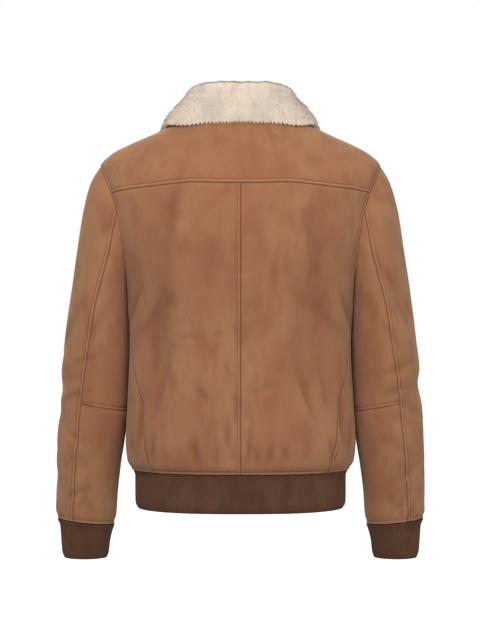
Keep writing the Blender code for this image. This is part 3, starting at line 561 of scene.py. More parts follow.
def edge_place(row, armhole_step):
    """(angle, level) of the panel's outer edge at a row: side seam, then armhole, then shoulder."""
    level = HEM_LEVEL + (ARMPIT_LEVEL - HEM_LEVEL) * np.minimum(row / SIDE_SEAM_ROWS, 1.0)
    angle = side_seam_angle(level)
    step = armhole_step(row)
    hole_angle, hole_level = armhole_place(np.clip(step, 0, ARMHOLE_STEPS))
    on_hole = row > SIDE_SEAM_ROWS
    return np.where(on_hole, hole_angle, angle), np.where(on_hole, hole_level, level)


def shoulder_place(part):
    level = SHOULDER_LEVEL + (NECK_LEVEL - SHOULDER_LEVEL) * part
    return 90.0 + SHOULDER_SEAM_SWING * ease(part), level


def between(edge, centre_level, inner_angle, across):
    """Rows from the centre line out to the edge, in (angle, level)."""
    edge_angle, edge_level = edge
    droop = np.maximum((across - LEVEL_SHARE) / (1.0 - LEVEL_SHARE), 0.0) ** LEVEL_TURN
    angle = inner_angle[:, None] + (edge_angle - inner_angle)[:, None] * across[None, :]
    level = centre_level[:, None] + (edge_level - centre_level)[:, None] * droop[None, :]
    return angle, level


def back_points(up, across, side):
    last = SIDE_SEAM_ROWS + ARMHOLE_STEPS // 2 - YOKE_END_STEP
    row = up * last
    edge = edge_place(row, lambda row: ARMHOLE_STEPS / 2 + SIDE_SEAM_ROWS - row)
    centre_level = HEM_LEVEL + (YOKE_LEVEL - HEM_LEVEL) * up
    angle, level = between(edge, centre_level, np.zeros_like(row), across)
    return body_points(side * angle, level)


def yoke_points(up, across):
    last = YOKE_END_STEP + SHOULDER_ROWS
    row = up * last
    hole = armhole_place(np.maximum(YOKE_END_STEP - row, 0.0))
    shoulder = shoulder_place(np.clip((row - YOKE_END_STEP) / SHOULDER_ROWS, 0.0, 1.0))
    on_hole = row <= YOKE_END_STEP
    edge = tuple(np.where(on_hole, low, high) for low, high in zip(hole, shoulder))
    centre_level = YOKE_LEVEL + (NECK_LEVEL - YOKE_LEVEL) * up
    angle, level = between(edge, centre_level, np.zeros_like(row), np.abs(across))
    return body_points(angle * np.sign(across)[None, :], level)


def front_points(up, across, side):
    hole_rows = ARMHOLE_STEPS // 2
    shoulder_row = SIDE_SEAM_ROWS + hole_rows
    row = up * (shoulder_row + SHOULDER_ROWS)
    low = edge_place(row, lambda row: hole_rows + row - SIDE_SEAM_ROWS)
    high = shoulder_place(np.clip((row - shoulder_row) / SHOULDER_ROWS, 0.0, 1.0))
    on_shoulder = row > shoulder_row
    edge = tuple(np.where(on_shoulder, above, below) for below, above in zip(low, high))
    angle, level = between(edge, edge[1], front_edge_angle(edge[1]), across)
    return body_points(side * angle, level)


def ring_points(columns, angle):
    outer_x, outer_z, inner_x, inner_z, middle_y, half_depth = columns
    across, along = np.cos(np.radians(angle)), np.sin(np.radians(angle))
    x = (outer_x + inner_x) / 2.0 + (outer_x - inner_x) / 2.0 * across
    z = (outer_z + inner_z) / 2.0 + (outer_z - inner_z) / 2.0 * across
    return np.stack([x, middle_y + half_depth * along, z], axis=-1)


def sleeve_points(angle, ring, side):
    """Points of the sleeve's outer surface, at these angles round it and these rings down it."""
    angle, ring = np.broadcast_arrays(angle, ring)
    points = ring_points(np.moveaxis(sleeve_section(ring), -1, 0), angle)
    hole_angle, hole_level = armhole_place(angle / 360.0 * ARMHOLE_STEPS)
    seat = body_points(side * hole_angle, hole_level) * (side, 1, 1)
    seat = seat - ring_points(SLEEVE_SECTIONS[0], angle)
    points = points + seat * (1.0 - ease(ring / CAP_FADE_RING))[..., None]
    cosine, sine = np.cos(np.radians(angle)), np.sin(np.radians(angle))
    hold = ease(ring / CAP_HOLD_RINGS) * ease((CUFF_RING - ring) / CUFF_HOLD_RINGS)
    hold = hold * ease((cosine + INNER_SIDE) / INNER_FADE)
    lift = fold_height(SLEEVE_FOLDS[side], angle, points[..., 2], SLEEVE_MEAN_RADIUS)
    creases = fold_height(SLEEVE_CREASES[side], angle, points[..., 2], SLEEVE_MEAN_RADIUS)
    lift = lift + creases * SLEEVE_CREASE_GAIN
    outwards = np.stack([cosine, sine, np.zeros_like(cosine)], axis=-1)
    points = points + (hold * lift)[..., None] * outwards
    points[..., 0] -= rest_on_body(side, cosine, ring)
    return points * (side, 1, 1)


def sleeve_room_table(side):
    """Rings down the sleeve, and the clear room between each and the body's side."""
    rings = np.linspace(0.0, CUFF_RING, 97)
    inner_angles = np.arange(120.0, 241.0, 4.0)
    body_angles = side * np.arange(60.0, 121.0, 2.0)
    places = ring_points(np.moveaxis(sleeve_section(rings)[:, None, :], -1, 0), inner_angles[None, :])
    seat = body_points(*armhole_place(inner_angles / 360.0 * ARMHOLE_STEPS))
    seat = seat - ring_points(SLEEVE_SECTIONS[0], inner_angles)
    places = places + seat[None] * (1.0 - ease(rings / CAP_FADE_RING))[:, None, None]
    nearest = places[..., 0].argmin(1)
    levels = places[np.arange(len(rings)), nearest, 2]
    body_x = np.abs(body_points(body_angles[None, :], levels[:, None])[..., 0]).max(1)
    return rings, places[..., 0].min(1) - body_x


SLEEVE_ROOM = {side: sleeve_room_table(side) for _, side in SIDES}


def rest_on_body(side, cosine, ring):
    """How far the sleeve's inner side comes in until it touches the body beside it."""
    room = np.interp(ring, *SLEEVE_ROOM[side]) - SLEEVE_CLEARANCE
    low = ease((sleeve_section(ring)[..., 3] - SLEEVE_PARTS_LEVEL) / SLEEVE_PARTS_FADE)
    high = ease((ring - TOUCH_FIRST_RING) / TOUCH_FADE_RINGS)
    return np.maximum(room, 0.0) * low * high * ease((-cosine - TOUCH_SIDE) / TOUCH_FADE)


def sleeve_panel_points(down, across, side, first, last, over_top):
    """Points of a sleeve panel between two rings, and the height of the creases at them."""
    ring = first + (last - first) * down
    seams = sleeve_seam(ring)
    hind, front = seams[:, 1], seams[:, 2]
    start, end = (front, hind) if over_top else (hind, 360.0 + front)
    angle = start[:, None] + (end - start)[:, None] * across[None, :]
    points = sleeve_points(angle, ring[:, None], side)
    return points, fold_height(SLEEVE_CREASES[side], angle, points[..., 2], SLEEVE_MEAN_RADIUS)


def stations(length, start_seam, end_seam, pitch):
    """Shares of a length, close together beside a seam and a pitch apart between."""
    start = [s / length for s in CLOSE_STATIONS] if start_seam else [0.0]
    end = [1.0 - s / length for s in CLOSE_STATIONS][::-1] if end_seam else [1.0]
    count = max(2, int(round((end[0] - start[-1]) * length / pitch)))
    return np.array(start[:-1] + list(np.linspace(start[-1], end[0], count + 1)) + end[1:])


def grid_normals(points, outward, tube=False):
    """Unit normals of a grid, or of a closed tube's, on the side that outward's sign tells."""
    if tube:
        around = np.roll(points, -1, axis=1) - np.roll(points, 1, axis=1)
    else:
        around = np.gradient(points, axis=1)
    return unit(np.cross(np.gradient(points, axis=0), around)) * -outward


def seam_distance(points, curve):
    """Each point's distance from a seam, and how far along the seam its nearest place lies."""
    flat = points.reshape(-1, 3)
    squares = (flat**2).sum(1)[:, None] + (curve**2).sum(1)[None, :] - 2.0 * flat @ curve.T
    nearest = squares.argmin(1)
    steps = np.linalg.norm(np.diff(curve, axis=0), axis=1)
    run = run_along(curve)
    best = np.full(len(flat), np.inf)
    place = np.zeros(len(flat))
    for first in (nearest - 1, nearest):
        first = np.clip(first, 0, len(curve) - 2)
        a, b = curve[first], curve[first + 1]
        along = b - a
        part = np.clip(((flat - a) * along).sum(1) / np.maximum((along**2).sum(1), 1e-18), 0.0, 1.0)
        gap = np.linalg.norm(flat - a - along * part[:, None], axis=1)
        closer = gap < best
        best = np.where(closer, gap, best)
        place = np.where(closer, run[first] + steps[first] * part, place)
    return best.reshape(points.shape[:2]), place.reshape(points.shape[:2])


def pucker(place):
    """Uneven ripple along a sewn seam."""
    ripple = np.zeros_like(place)
    for length, height, phase in PUCKER_WAVES:
        ripple += height * np.sin(2.0 * math.pi * place / length + phase)
    return ripple


def hump(distance, width):
    return np.exp(-((distance / width) ** 2))


def seam_style(style):
    return dict(zip(SEAM_COLUMNS, SEAM_STYLES[style]))


def seam_relief(gap, place, style):
    """What a seam does to the suede beside it.

    Returns the depth of its valley, the height of the surface, the painted shade along the seam and its
    stitching, and the welt's lightening, part rub wear and part painted highlight.
    """
    s = seam_style(style)
    offset = s["stitch_offset"]
    valley = s["valley"] * hump(gap, s["valley_width"])
    welt = s["welt"] * np.sqrt(np.sin(math.pi * np.clip(gap / offset, 0.0, 1.0)).clip(0.0))
    sink = s["sink"] * hump(gap - offset, SINK_WIDTH)
    past = np.maximum(gap - offset, 0.0) if s["sink"] else gap
    puff = s["puff"] * (1.0 - np.exp(-past / PUFF_RISE)) * np.exp(-past / s["puff_reach"])
    strength = s["welt"] / FULL_WELT if s["welt"] else 1.0
    # Painted shade along the seam's crevice
    shade = SEAM_SHADE * strength * hump(gap, SEAM_SHADE_WIDTH)
    worn = np.zeros_like(gap)
    if s["sink"]:
        # The welt's crest is lightened, part rub wear and part painted highlight, and painted shade
        # falls along its stitching
        worn = WEAR_AND_HIGHLIGHT * strength * hump(gap - offset * WEAR_AND_HIGHLIGHT_PLACE, WEAR_AND_HIGHLIGHT_WIDTH)
        shade = np.maximum(shade, STITCH_SHADE * strength * hump(gap - offset, STITCH_SHADE_WIDTH))
    ripple = PUCKER_HEIGHT * pucker(place) * np.exp(-gap / PUCKER_REACH)
    relief = welt - sink + puff + ripple * ease(gap / PUCKER_START)
    return valley, relief, shade, worn


def drape(points):
    """Slow uneven waves of a hanging skin, the same at every run."""
    flat = points.reshape(-1, 3)
    lift = np.zeros(len(flat))
    for cycles, height in DRAPE_WAVES:
        scaled = (flat * (cycles, cycles, cycles * DRAPE_LENGTHENING)).tolist()
        lift += height * np.array([noise.noise(place) for place in scaled])
    return lift.reshape(points.shape[:2])


class Panel:
    """One cut piece as a grid: its base points, its outward normals and its finished surface."""

    def __init__(self, name, points, outward, seams, cut, creases):
        self.name = name
        self.base = points
        self.normals = grid_normals(points, outward)
        self.outward = outward
        self.seams = seams
        self.cut = cut
        shape = points.shape[:2]
        valley, relief, worn = np.zeros((3, *shape))
        weight = np.full(shape, 1e-9)
        nearest = np.full(shape, 1.0)
        # Painted shade in the creases, darker the deeper they are
        shade = CREASE_SHADE * np.clip(-creases / CREASE_FULL_SHADE, 0.0, 1.0)
        for _, curve, style in seams:
            gap, place = seam_distance(points, curve)
            dip, height, dark, rub_and_highlight = seam_relief(gap, place, style)
            shade = np.maximum(shade, dark)
            worn = np.maximum(worn, rub_and_highlight)
            valley = np.maximum(valley, dip)
            nearest = np.minimum(nearest, gap)
            share = np.exp(-gap / SEAM_BLEND)
            relief += height * share
            weight += share
        relief = relief / np.maximum(weight, np.exp(-nearest / SEAM_BLEND))
        waves = drape(points) * ease(nearest / DRAPE_HOLD)
        # Painted shade, and the welt's lightening (part rub wear, part painted highlight), for the
        # suede's colour
        self.values = {"shade": shade, "worn": worn}
        self.surface = points + self.normals * (waves + relief - valley)[..., None]


def grid_faces(rows, columns, tube=False):
    across = np.arange(columns if tube else columns - 1)
    row, column = np.meshgrid(np.arange(rows - 1), across, indexing="ij")
    beside = (column + 1) % columns
    first = row * columns + column
    second = row * columns + beside
    faces = np.stack([first, second, second + columns, first + columns], axis=-1)
    return faces.reshape(-1, 4)


def rim_faces(rows, columns, count, tube):
    """Faces round the edge of a grid, from its outer skin to its inner one."""
    across = np.arange(columns if tube else columns - 1)
    beside = (across + 1) % columns
    last = (rows - 1) * columns
    pairs = [(beside, across), (last + across, last + beside)]
    if not tube:
        down = np.arange(rows - 1) * columns
        pairs += [(down, down + columns), (down + columns + columns - 1, down + columns - 1)]
    return np.concatenate([np.stack([a, b, b + count, a + count], axis=-1) for a, b in pairs])


def loft_faces(start, rings, corners=4):
    """Faces round a stack of rings of points, and over its two ends."""
    faces = []
    for ring in range(rings - 1):
        for corner in range(corners):
            a = start + ring * corners + corner
            b = start + ring * corners + (corner + 1) % corners
            faces.append((a, b, b + corners, a + corners))
    last = start + (rings - 1) * corners
    faces.append(tuple(start + corner for corner in reversed(range(corners))))
    faces.append(tuple(last + corner for corner in range(corners)))
    return faces


def add_object(name, data):
    item = bpy.data.objects.new(name, data)
    bpy.context.scene.collection.objects.link(item)
    return item


def set_smooth(mesh, smooth):
    mesh.polygons.foreach_set("use_smooth", np.full(len(mesh.polygons), smooth))


def add_mesh(name, vertices, faces, materials, face_slots=None, values=None):
    """A piece of the garment, with one number at each vertex for each of the named values."""
    mesh = bpy.data.meshes.new(name)
    mesh.from_pydata(np.asarray(vertices, float).tolist(), [], [list(face) for face in faces])
    for material in materials:
        mesh.materials.append(material)
    set_smooth(mesh, True)
    if face_slots is not None:
        mesh.polygons.foreach_set("material_index", np.asarray(face_slots, np.int32))
    for label, numbers in (values or {}).items():
        attribute = mesh.attributes.new(label, "FLOAT", "POINT")
        attribute.data.foreach_set("value", np.asarray(numbers, np.float32).ravel())
    mesh.update()
    piece = add_object(name, mesh)
    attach(piece, CLOTH_BODY)
    return piece


def add_shell(name, outer, inner, outward, materials, values, tube=False):
    """A closed wall between two grids of the same shape, its inside in the second material."""
    rows, columns = outer.shape[:2]
    count = rows * columns
    skin = grid_faces(rows, columns, tube)
    inside = skin[:, ::-1] + count
    rim = rim_faces(rows, columns, count, tube)
    faces = np.concatenate([skin, inside, rim])
    if outward < 0:
        faces = faces[:, ::-1]
    slots = np.concatenate([np.zeros(len(skin)), np.ones(len(inside)), np.zeros(len(rim))])
    vertices = np.concatenate([outer.reshape(-1, 3), inner.reshape(-1, 3)])
    doubled = {label: np.concatenate([v.ravel(), v.ravel()]) for label, v in values.items()}
    return add_mesh(name, vertices, faces, materials, slots, doubled)


def drawn_back(points, edges):
    """The grid with its sewn edges drawn back a hair, so that no two pieces cross."""
    moved = points.copy()
    lines = {
        "bottom": (np.s_[0], np.s_[1]),
        "top": (np.s_[-1], np.s_[-2]),
        "start": (np.s_[:, 0], np.s_[:, 1]),
        "end": (np.s_[:, -1], np.s_[:, -2]),
    }
    for edge, (outermost, next_in) in lines.items():
        if edge in edges:
            moved[outermost] += unit(points[next_in] - points[outermost]) * (SEWN_GAP / 2.0)
    return moved


# Materials


class Nodes:
    """Short ways to add and link shader nodes in one tree."""

    def __init__(self, tree):
        self.tree = tree

    def fill(self, node, values):
        """Feeds each named input: an output is linked to it, a number or colour is set on it."""
        for name, value in values.items():
            socket = node.inputs[name]
            if isinstance(value, bpy.types.NodeSocket):
                self.tree.links.new(value, socket)
            else:
                socket.default_value = (*value, 1.0) if socket.type == "RGBA" else value
        return node

    def add(self, kind, values=None, **settings):
        node = self.tree.nodes.new(kind)
        for name, value in settings.items():
            setattr(node, name, value)
        return self.fill(node, values or {})

    def noise(self, vector, scale, detail=3.0, roughness=0.55, distortion=0.0):
        values = {"Vector": vector, "Scale": scale, "Detail": detail}
        values.update({"Roughness": roughness, "Distortion": distortion})
        return self.add("ShaderNodeTexNoise", values).outputs["Fac"]

    def spread(self, value, low, high, to_low, to_high):
        values = {"Value": value, "From Min": low, "From Max": high, "To Min": to_low, "To Max": to_high}
        return self.add("ShaderNodeMapRange", values, interpolation_type="SMOOTHSTEP").outputs["Result"]

    def math(self, operation, first, second=0.0):
        return self.add("ShaderNodeMath", {0: first, 1: second}, operation=operation).outputs[0]

    def mix(self, factor, first, second):
        values = {0: factor, 6: first, 7: second}
        return self.add("ShaderNodeMix", values, data_type="RGBA").outputs[2]

    def bump(self, height, distance, strength):
        values = {"Height": height, "Distance": distance, "Strength": strength}
        return self.add("ShaderNodeBump", values).outputs["Normal"]

    def attribute(self, name, output="Fac"):
        return self.add("ShaderNodeAttribute", attribute_name=name).outputs[output]

    def stretched(self, vector, scale):
        return self.add("ShaderNodeMapping", {"Vector": vector, "Scale": scale}).outputs["Vector"]

    def object_place(self):
        return self.add("ShaderNodeTexCoord").outputs["Object"]


GROUP_SOCKETS = (
    ("INPUT", "Vector", ("Vector",)),
    ("INPUT", "Color", ("Base", "Light", "Dark")),
    ("INPUT", "Float", ("Grain Scale",)),
    ("OUTPUT", "Color", ("Color",)),
    ("OUTPUT", "Float", ("Height", "Roughness")),
)


def mottle_group():
    """Uneven colour of a napped or knitted surface: broad patches, brushed streaks and grain."""
    existing = bpy.data.node_groups.get("mottle")
    if existing:
        return existing
    tree = bpy.data.node_groups.new("mottle", "ShaderNodeTree")
    for side, kind, names in GROUP_SOCKETS:
        for name in names:
            tree.interface.new_socket(name=name, in_out=side, socket_type="NodeSocket" + kind)
    n = Nodes(tree)
    inputs = n.add("NodeGroupInput").outputs
    vector = inputs["Vector"]
    patches = n.noise(n.stretched(vector, (1.0, 1.0, 0.5)), 12.0, 2.0, 0.45, 0.15)
    blotches = n.noise(n.stretched(vector, (1.0, 1.0, 0.55)), 34.0, 3.0, 0.5, 0.1)
    streaks = n.noise(n.stretched(vector, (90.0, 90.0, 26.0)), 1.0, 3.0, 0.6)
    grain = n.noise(vector, inputs["Grain Scale"], 2.0, 0.5)
    colour = n.mix(n.spread(patches, 0.36, 0.66, 0.0, 1.0), inputs["Base"], inputs["Light"])
    colour = n.mix(n.spread(blotches, 0.42, 0.70, 0.0, 0.90), colour, inputs["Dark"])
    colour = n.mix(n.spread(streaks, 0.50, 0.72, 0.0, 0.62), colour, inputs["Dark"])
    colour = n.mix(n.spread(grain, 0.50, 0.72, 0.0, 0.40), colour, inputs["Light"])
    height = n.math("ADD", n.math("MULTIPLY", streaks, 0.45), n.math("MULTIPLY", grain, 0.55))
    roughness = n.spread(blotches, 0.3, 0.7, 0.86, 0.99)
    n.add("NodeGroupOutput", {"Color": colour, "Height": height, "Roughness": roughness})
    return tree


def mottled(n, base, light, dark, grain_scale):
    colours = {"Base": base, "Light": light, "Dark": dark}
    group = n.add("ShaderNodeGroup", node_tree=mottle_group())
    n.fill(group, {"Vector": n.object_place(), "Grain Scale": grain_scale, **colours})
    return group.outputs


def tinted(colour, factor):
    return tuple(min(1.0, channel * factor) for channel in colour)


def made_once(name, colour):
    """Makes a material on the first call only, from one of the panel's colours.

    The function it stands above gets the nodes and the colour, and returns the shader's inputs.
    """

    def wrap(shader_inputs):
        def material():
            made = bpy.data.materials.get(name)
            if made is None:
                made = bpy.data.materials.new(name)
                made.use_nodes = True
                n = Nodes(made.node_tree)
                base = tuple(getattr(bpy.context.scene.blouson_colours, colour))
                n.fill(made.node_tree.nodes["Principled BSDF"], shader_inputs(n, base))
            return made

        return material

    return wrap


@made_once("tan_suede", "suede")
def suede_material(n, base):
    colours = bpy.context.scene.blouson_colours
    light, dark = tuple(colours.suede_light), tuple(colours.suede_dark)
    nap = mottled(n, base, light, dark, 1100.0)
    shaded = tuple(channel * share for channel, share in zip(dark, SHADED_SUEDE))
    # Welt crests lighter: part rub wear, part painted highlight
    colour = n.mix(n.attribute("worn"), nap["Color"], tinted(light, 1.15))
    return {
        # Painted shade in creases, seams and stitching
        "Base Color": n.mix(n.attribute("shade"), colour, shaded),
        "Roughness": nap["Roughness"],
        "Normal": n.bump(nap["Height"], 0.00035, 0.55),
        "Sheen Weight": 0.22,
        "Sheen Roughness": 0.6,
        "Sheen Tint": (1.0, 0.78, 0.60),
        "Specular IOR Level": 0.06,
    }


@made_once("suede_inside", "suede_dark")
def flesh_material(n, dark):
    nap = mottled(n, tinted(dark, 0.9), tinted(dark, 1.15), tinted(dark, 0.65), 700.0)
    return {
        "Base Color": nap["Color"],
        "Normal": n.bump(nap["Height"], 0.0004, 0.6),
        "Roughness": 0.95,
        "Specular IOR Level": 0.1,
    }


@made_once("brown_rib_knit", "rib")
def rib_material(n, base):
    yarn = mottled(n, base, tinted(base, 1.25), tinted(base, 0.8), 2200.0)
    loops = n.math("SINE", n.math("MULTIPLY", n.attribute("run"), 2.0 * math.pi / RIB_LOOP))
    # Painted shade in the valleys between the ribs
    rib_valley_shade = n.spread(n.attribute("crown"), 0.0, 0.75, 0.40, 0.0)
    colour = n.mix(rib_valley_shade, yarn["Color"], tinted(base, 0.45))
    height = n.math("ADD", n.math("MULTIPLY", loops, 0.5), yarn["Height"])
    return {
        # A little painted shade between the knit's loops
        "Base Color": n.mix(n.spread(loops, -1.0, 1.0, 0.07, 0.0), colour, tinted(base, 0.5)),
        "Normal": n.bump(height, 0.0002, 0.5),
        "Roughness": 0.92,
        "Sheen Weight": 0.06,
        "Sheen Roughness": 0.6,
        "Sheen Tint": (1.0, 0.72, 0.52),
        "Specular IOR Level": 0.08,
    }


@made_once("cream_pile", "fleece")
def pile_material(n, fleece):
    wool = mottled(n, fleece, tinted(fleece, 1.06), tinted(fleece, 0.86), 500.0)
    # Painted shade: the wool is darker towards the locks' roots and on the bed, where the coat shades
    # itself
    root_shade = n.spread(n.attribute("depth"), 0.0, 1.0, 0.0, 0.20)
    uneven = n.spread(n.attribute("tone"), 0.0, 1.0, 0.0, 0.18)
    colour = n.mix(root_shade, wool["Color"], tinted(fleece, 0.60))
    own = n.add("ShaderNodeNewGeometry").outputs["Normal"]
    slopes = {0: n.attribute("nap", "Vector"), 1: own}
    both = n.add("ShaderNodeVectorMath", slopes, operation="ADD").outputs["Vector"]
    soft = n.add("ShaderNodeVectorMath", {0: both}, operation="NORMALIZE").outputs["Vector"]
    return {
        "Base Color": n.mix(uneven, colour, tinted(fleece, 0.75)),
        "Normal": soft,
        "Roughness": 0.95,
        "Specular IOR Level": 0.0,
    }


@made_once("collar_skin", "fleece")
def skin_material(n, fleece):
    """Under the pile, and the collar's suede side."""
    nap = mottled(n, tinted(fleece, 0.75), tinted(fleece, 0.85), tinted(fleece, 0.6), 900.0)
    return {
        "Base Color": nap["Color"],
        "Normal": n.bump(nap["Height"], 0.0006, 0.8),
        "Roughness": 0.95,
    }


@made_once("zip_tape_twill", "tape")
def tape_material(n, base):
    waves = {"Scale": 420.0, "Vector": n.object_place()}
    wave = n.add("ShaderNodeTexWave", waves, wave_type="BANDS", bands_direction="DIAGONAL")
    twill = wave.outputs["Fac"]
    return {
        "Base Color": n.mix(twill, tinted(base, 0.7), tinted(base, 1.25)),
        "Normal": n.bump(twill, 0.0002, 0.6),
        "Roughness": 0.85,
    }


@made_once("antique_zip_metal", "metal")
def metal_material(n, base):
    wear = n.noise(n.object_place(), 700.0, 4.0, 0.6)
    polish = n.spread(wear, 0.35, 0.65, 0.0, 1.0)
    return {
        "Base Color": n.mix(polish, tinted(base, 0.6), tinted(base, 1.3)),
        "Roughness": n.spread(wear, 0.3, 0.7, 0.28, 0.48),
        "Metallic": 1.0,
    }


@made_once("tan_thread", "thread")
def thread_material(n, base):
    twist = n.noise(n.object_place(), 3000.0, 2.0)
    return {
        "Base Color": n.mix(twist, tinted(base, 0.8), tinted(base, 1.15)),
        "Roughness": 0.7,
    }


# Cloth panels


# Lengths over which the panels' grid lines are spread
BACK_LENGTH = 0.503
FRONT_LENGTH = 0.62
PANEL_WIDTH = 0.27
YOKE_LENGTH = 0.15
YOKE_HALF_WIDTH = 0.24

# Each cut piece laid flat: its length and width, and its area
BACK_CUT = ((0.26, 0.51), 0.100)
FRONT_CUT = ((0.36, 0.64), 0.165)
YOKE_CUT = ((0.50, 0.20), 0.073)


def body_creases(points):
    """Height of the finer creases at points of the body."""
    angle = np.degrees(np.arctan2(points[..., 0], points[..., 1]))
    return fold_height(BODY_CREASES, angle, points[..., 2], BODY_MEAN_RADIUS)


def seam_list(points, bottom, top, sides):
    """A panel's seams as (edge, curve, style).

    Each of the sides is (edge, first row, row past the last, style), as a side can change its style.
    """
    seams = [("bottom", points[0], bottom), ("top", points[-1], top)]
    for edge, first, stop, style in sides:
        seams.append((edge, points[first:stop, 0 if edge == "start" else -1], style))
    return seams


def body_panel_list(pitch):
    """The suede pieces of the body."""
    panels = []
    hole_rows = ARMHOLE_STEPS // 2
    up = stations(BACK_LENGTH, True, True, pitch)
    front_up = stations(FRONT_LENGTH, True, True, pitch)
    across = stations(PANEL_WIDTH, True, True, pitch)
    armpit = np.searchsorted(up, SIDE_SEAM_ROWS / (SIDE_SEAM_ROWS + hole_rows - YOKE_END_STEP))
    rows = SIDE_SEAM_ROWS + hole_rows + SHOULDER_ROWS
    front_armpit = np.searchsorted(front_up, SIDE_SEAM_ROWS / rows)
    front_tip = np.searchsorted(front_up, (SIDE_SEAM_ROWS + hole_rows) / rows)
    for name, side in SIDES:
        points = back_points(up, across, side)
        sides = [
            ("start", 0, None, "welt" if side > 0 else "plain"),
            ("end", 0, armpit + 1, "plain"),
            ("end", armpit, None, "welt"),
        ]
        seams = seam_list(points, "hem", "plain", sides)
        panels.append(Panel("back_" + name, points, -side, seams, BACK_CUT, body_creases(points)))
    for name, side in SIDES:
        points = front_points(front_up, across, side)
        sides = [
            ("start", 0, None, "hem"),
            ("end", 0, front_armpit + 1, "side"),
            ("end", front_armpit, front_tip + 1, "welt"),
            ("end", front_tip, None, "plain"),
        ]
        seams = seam_list(points, "hem", "plain", sides)
        panels.append(Panel("front_" + name, points, side, seams, FRONT_CUT, body_creases(points)))
    yoke_up = stations(YOKE_LENGTH, True, True, pitch)
    half = stations(YOKE_HALF_WIDTH, False, True, pitch)
    points = yoke_points(yoke_up, np.concatenate([-half[:0:-1], half]))
    tip = np.searchsorted(yoke_up, YOKE_END_STEP / (YOKE_END_STEP + SHOULDER_ROWS))
    runs = ((0, tip + 1), (tip, None))
    sides = [(edge, *run, "welt") for edge in ("start", "end") for run in runs]
    seams = seam_list(points, "welt", "plain", sides)
    panels.append(Panel("back_yoke", points, -1, seams, YOKE_CUT, body_creases(points)))
    return panels


SLEEVE_PIECES = (
    # name, first ring, last ring, over the top, length, width, flat size and area of the cut
    ("top_sleeve_", 0.0, CUFF_RING, True, 0.60, 0.22, ((0.26, 0.62), 0.113)),
    ("under_sleeve_upper_", 0.0, ELBOW_RING, False, 0.36, 0.18, ((0.18, 0.30), 0.044)),
    ("under_sleeve_lower_", ELBOW_RING, CUFF_RING, False, 0.19, 0.14, ((0.175, 0.215), 0.034)),
)


def sleeve_panel_list(pitch):
    panels = []
    for name, side in SIDES:
        for piece, first, last, over_top, length, width, cut in SLEEVE_PIECES:
            down = stations(length, True, True, pitch)
            across = stations(width, True, True, pitch)
            points, creases = sleeve_panel_points(down, across, side, first, last, over_top)
            style = "welt" if over_top else "plain"
            sides = [("start", 0, None, style), ("end", 0, None, style)]
            seams = seam_list(points, "plain", "hem" if last == CUFF_RING else "elbow", sides)
            panels.append(Panel(piece + name, points, -side, seams, cut, creases))
    return panels


# The dressed panels by name, for their stitching
PANELS = {}


def dress_panel(panel):
    """Makes the panel's piece, a closed shell from its finished surface to its flesh side."""
    edges = {edge for edge, _, _ in panel.seams}
    outer = drawn_back(panel.surface, edges)
    inner = drawn_back(panel.base - panel.normals * WALL, edges)
    materials = [suede_material(), flesh_material()]
    piece = add_shell(panel.name + "_suede", outer, inner, panel.outward, materials, panel.values)
    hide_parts(panel.name)
    PANELS[panel.name] = panel


class BLOUSON_OT_body(bpy.types.Operator):
    """Back, yoke and fronts as thin suede shells with their seams and creases"""

    bl_idname = "blouson.body"
    bl_label = "Body"

    def execute(self, context):
        for panel in body_panel_list(context.scene.blouson_sizes.cloth_pitch):
            dress_panel(panel)
        return {"FINISHED"}


class BLOUSON_OT_sleeves(bpy.types.Operator):
    """Two-piece sleeves as thin suede shells, the under sleeve sewn across at the elbow"""

    bl_idname = "blouson.sleeves"
    bl_label = "Sleeves"

    def execute(self, context):
        for panel in sleeve_panel_list(context.scene.blouson_sizes.cloth_pitch):
            dress_panel(panel)
        return {"FINISHED"}


# Rib knit


def ribbed(points, normals, share):
    """Ribs on a grid, rounded between narrow valleys, and how near each point is to their crowns."""
    crown = np.abs(np.sin(math.pi * share)) ** RIB_ROUNDNESS
    return points + normals * ((crown - 1.0) * RIB_HEIGHT)[..., None], crown


def build_rib(name, node, points, outward, tube, length):
    """A knit band from its outer grid, its first row sewn on and its last row turned under."""
    shape = points.shape[:2]
    normals = grid_normals(points, outward, tube)
    share = np.broadcast_to(np.arange(shape[1]) / RIB_STEPS, shape)
    down = np.linspace(0.0, length, shape[0])
    outer, crown = ribbed(points, normals, share)
    valley = hump(down, RIB_SEAM_WIDTH) * RIB_SEAM_DEPTH
    outer = outer - normals * valley[:, None, None]
    inner, _ = ribbed(points - normals * WALL, -normals, share)
    values = {"crown": crown, "run": np.broadcast_to(down[:, None], shape)}
    material = rib_material()
    piece = add_shell(name, outer, inner, outward, [material, material], values, tube)
    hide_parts(node)


def hem_rib_points():
    """The hem band's outer grid, its columns evenly spaced along the hem."""
    edge = float(front_edge_angle(np.array(HEM_LEVEL)))
    steps = HEM_RIBS * RIB_STEPS
    angles = np.linspace(-edge, edge, steps * 4 + 1)
    run = run_along(body_points(angles, HEM_LEVEL))
    ring = body_points(np.interp(np.linspace(0.0, run[-1], steps + 1), run, angles), HEM_LEVEL)
    inward = unit(ring * (1, 1, 0))
    drops = np.array(HEM_DROPS)[:, None, None]
    tapers = hem_rib_section(HEM_DROPS)[:, 1][:, None, None]
    return ring[None] - inward[None] * tapers + drops * DOWN


def cuff_points(side):
    angles = np.linspace(0.0, 360.0, CUFF_RIBS * RIB_STEPS + 1)[:-1]
    columns = np.moveaxis(cuff_section(CUFF_RINGS)[:, None, :], -1, 0)
    return ring_points(columns, angles[None, :]) * (side, 1, 1)


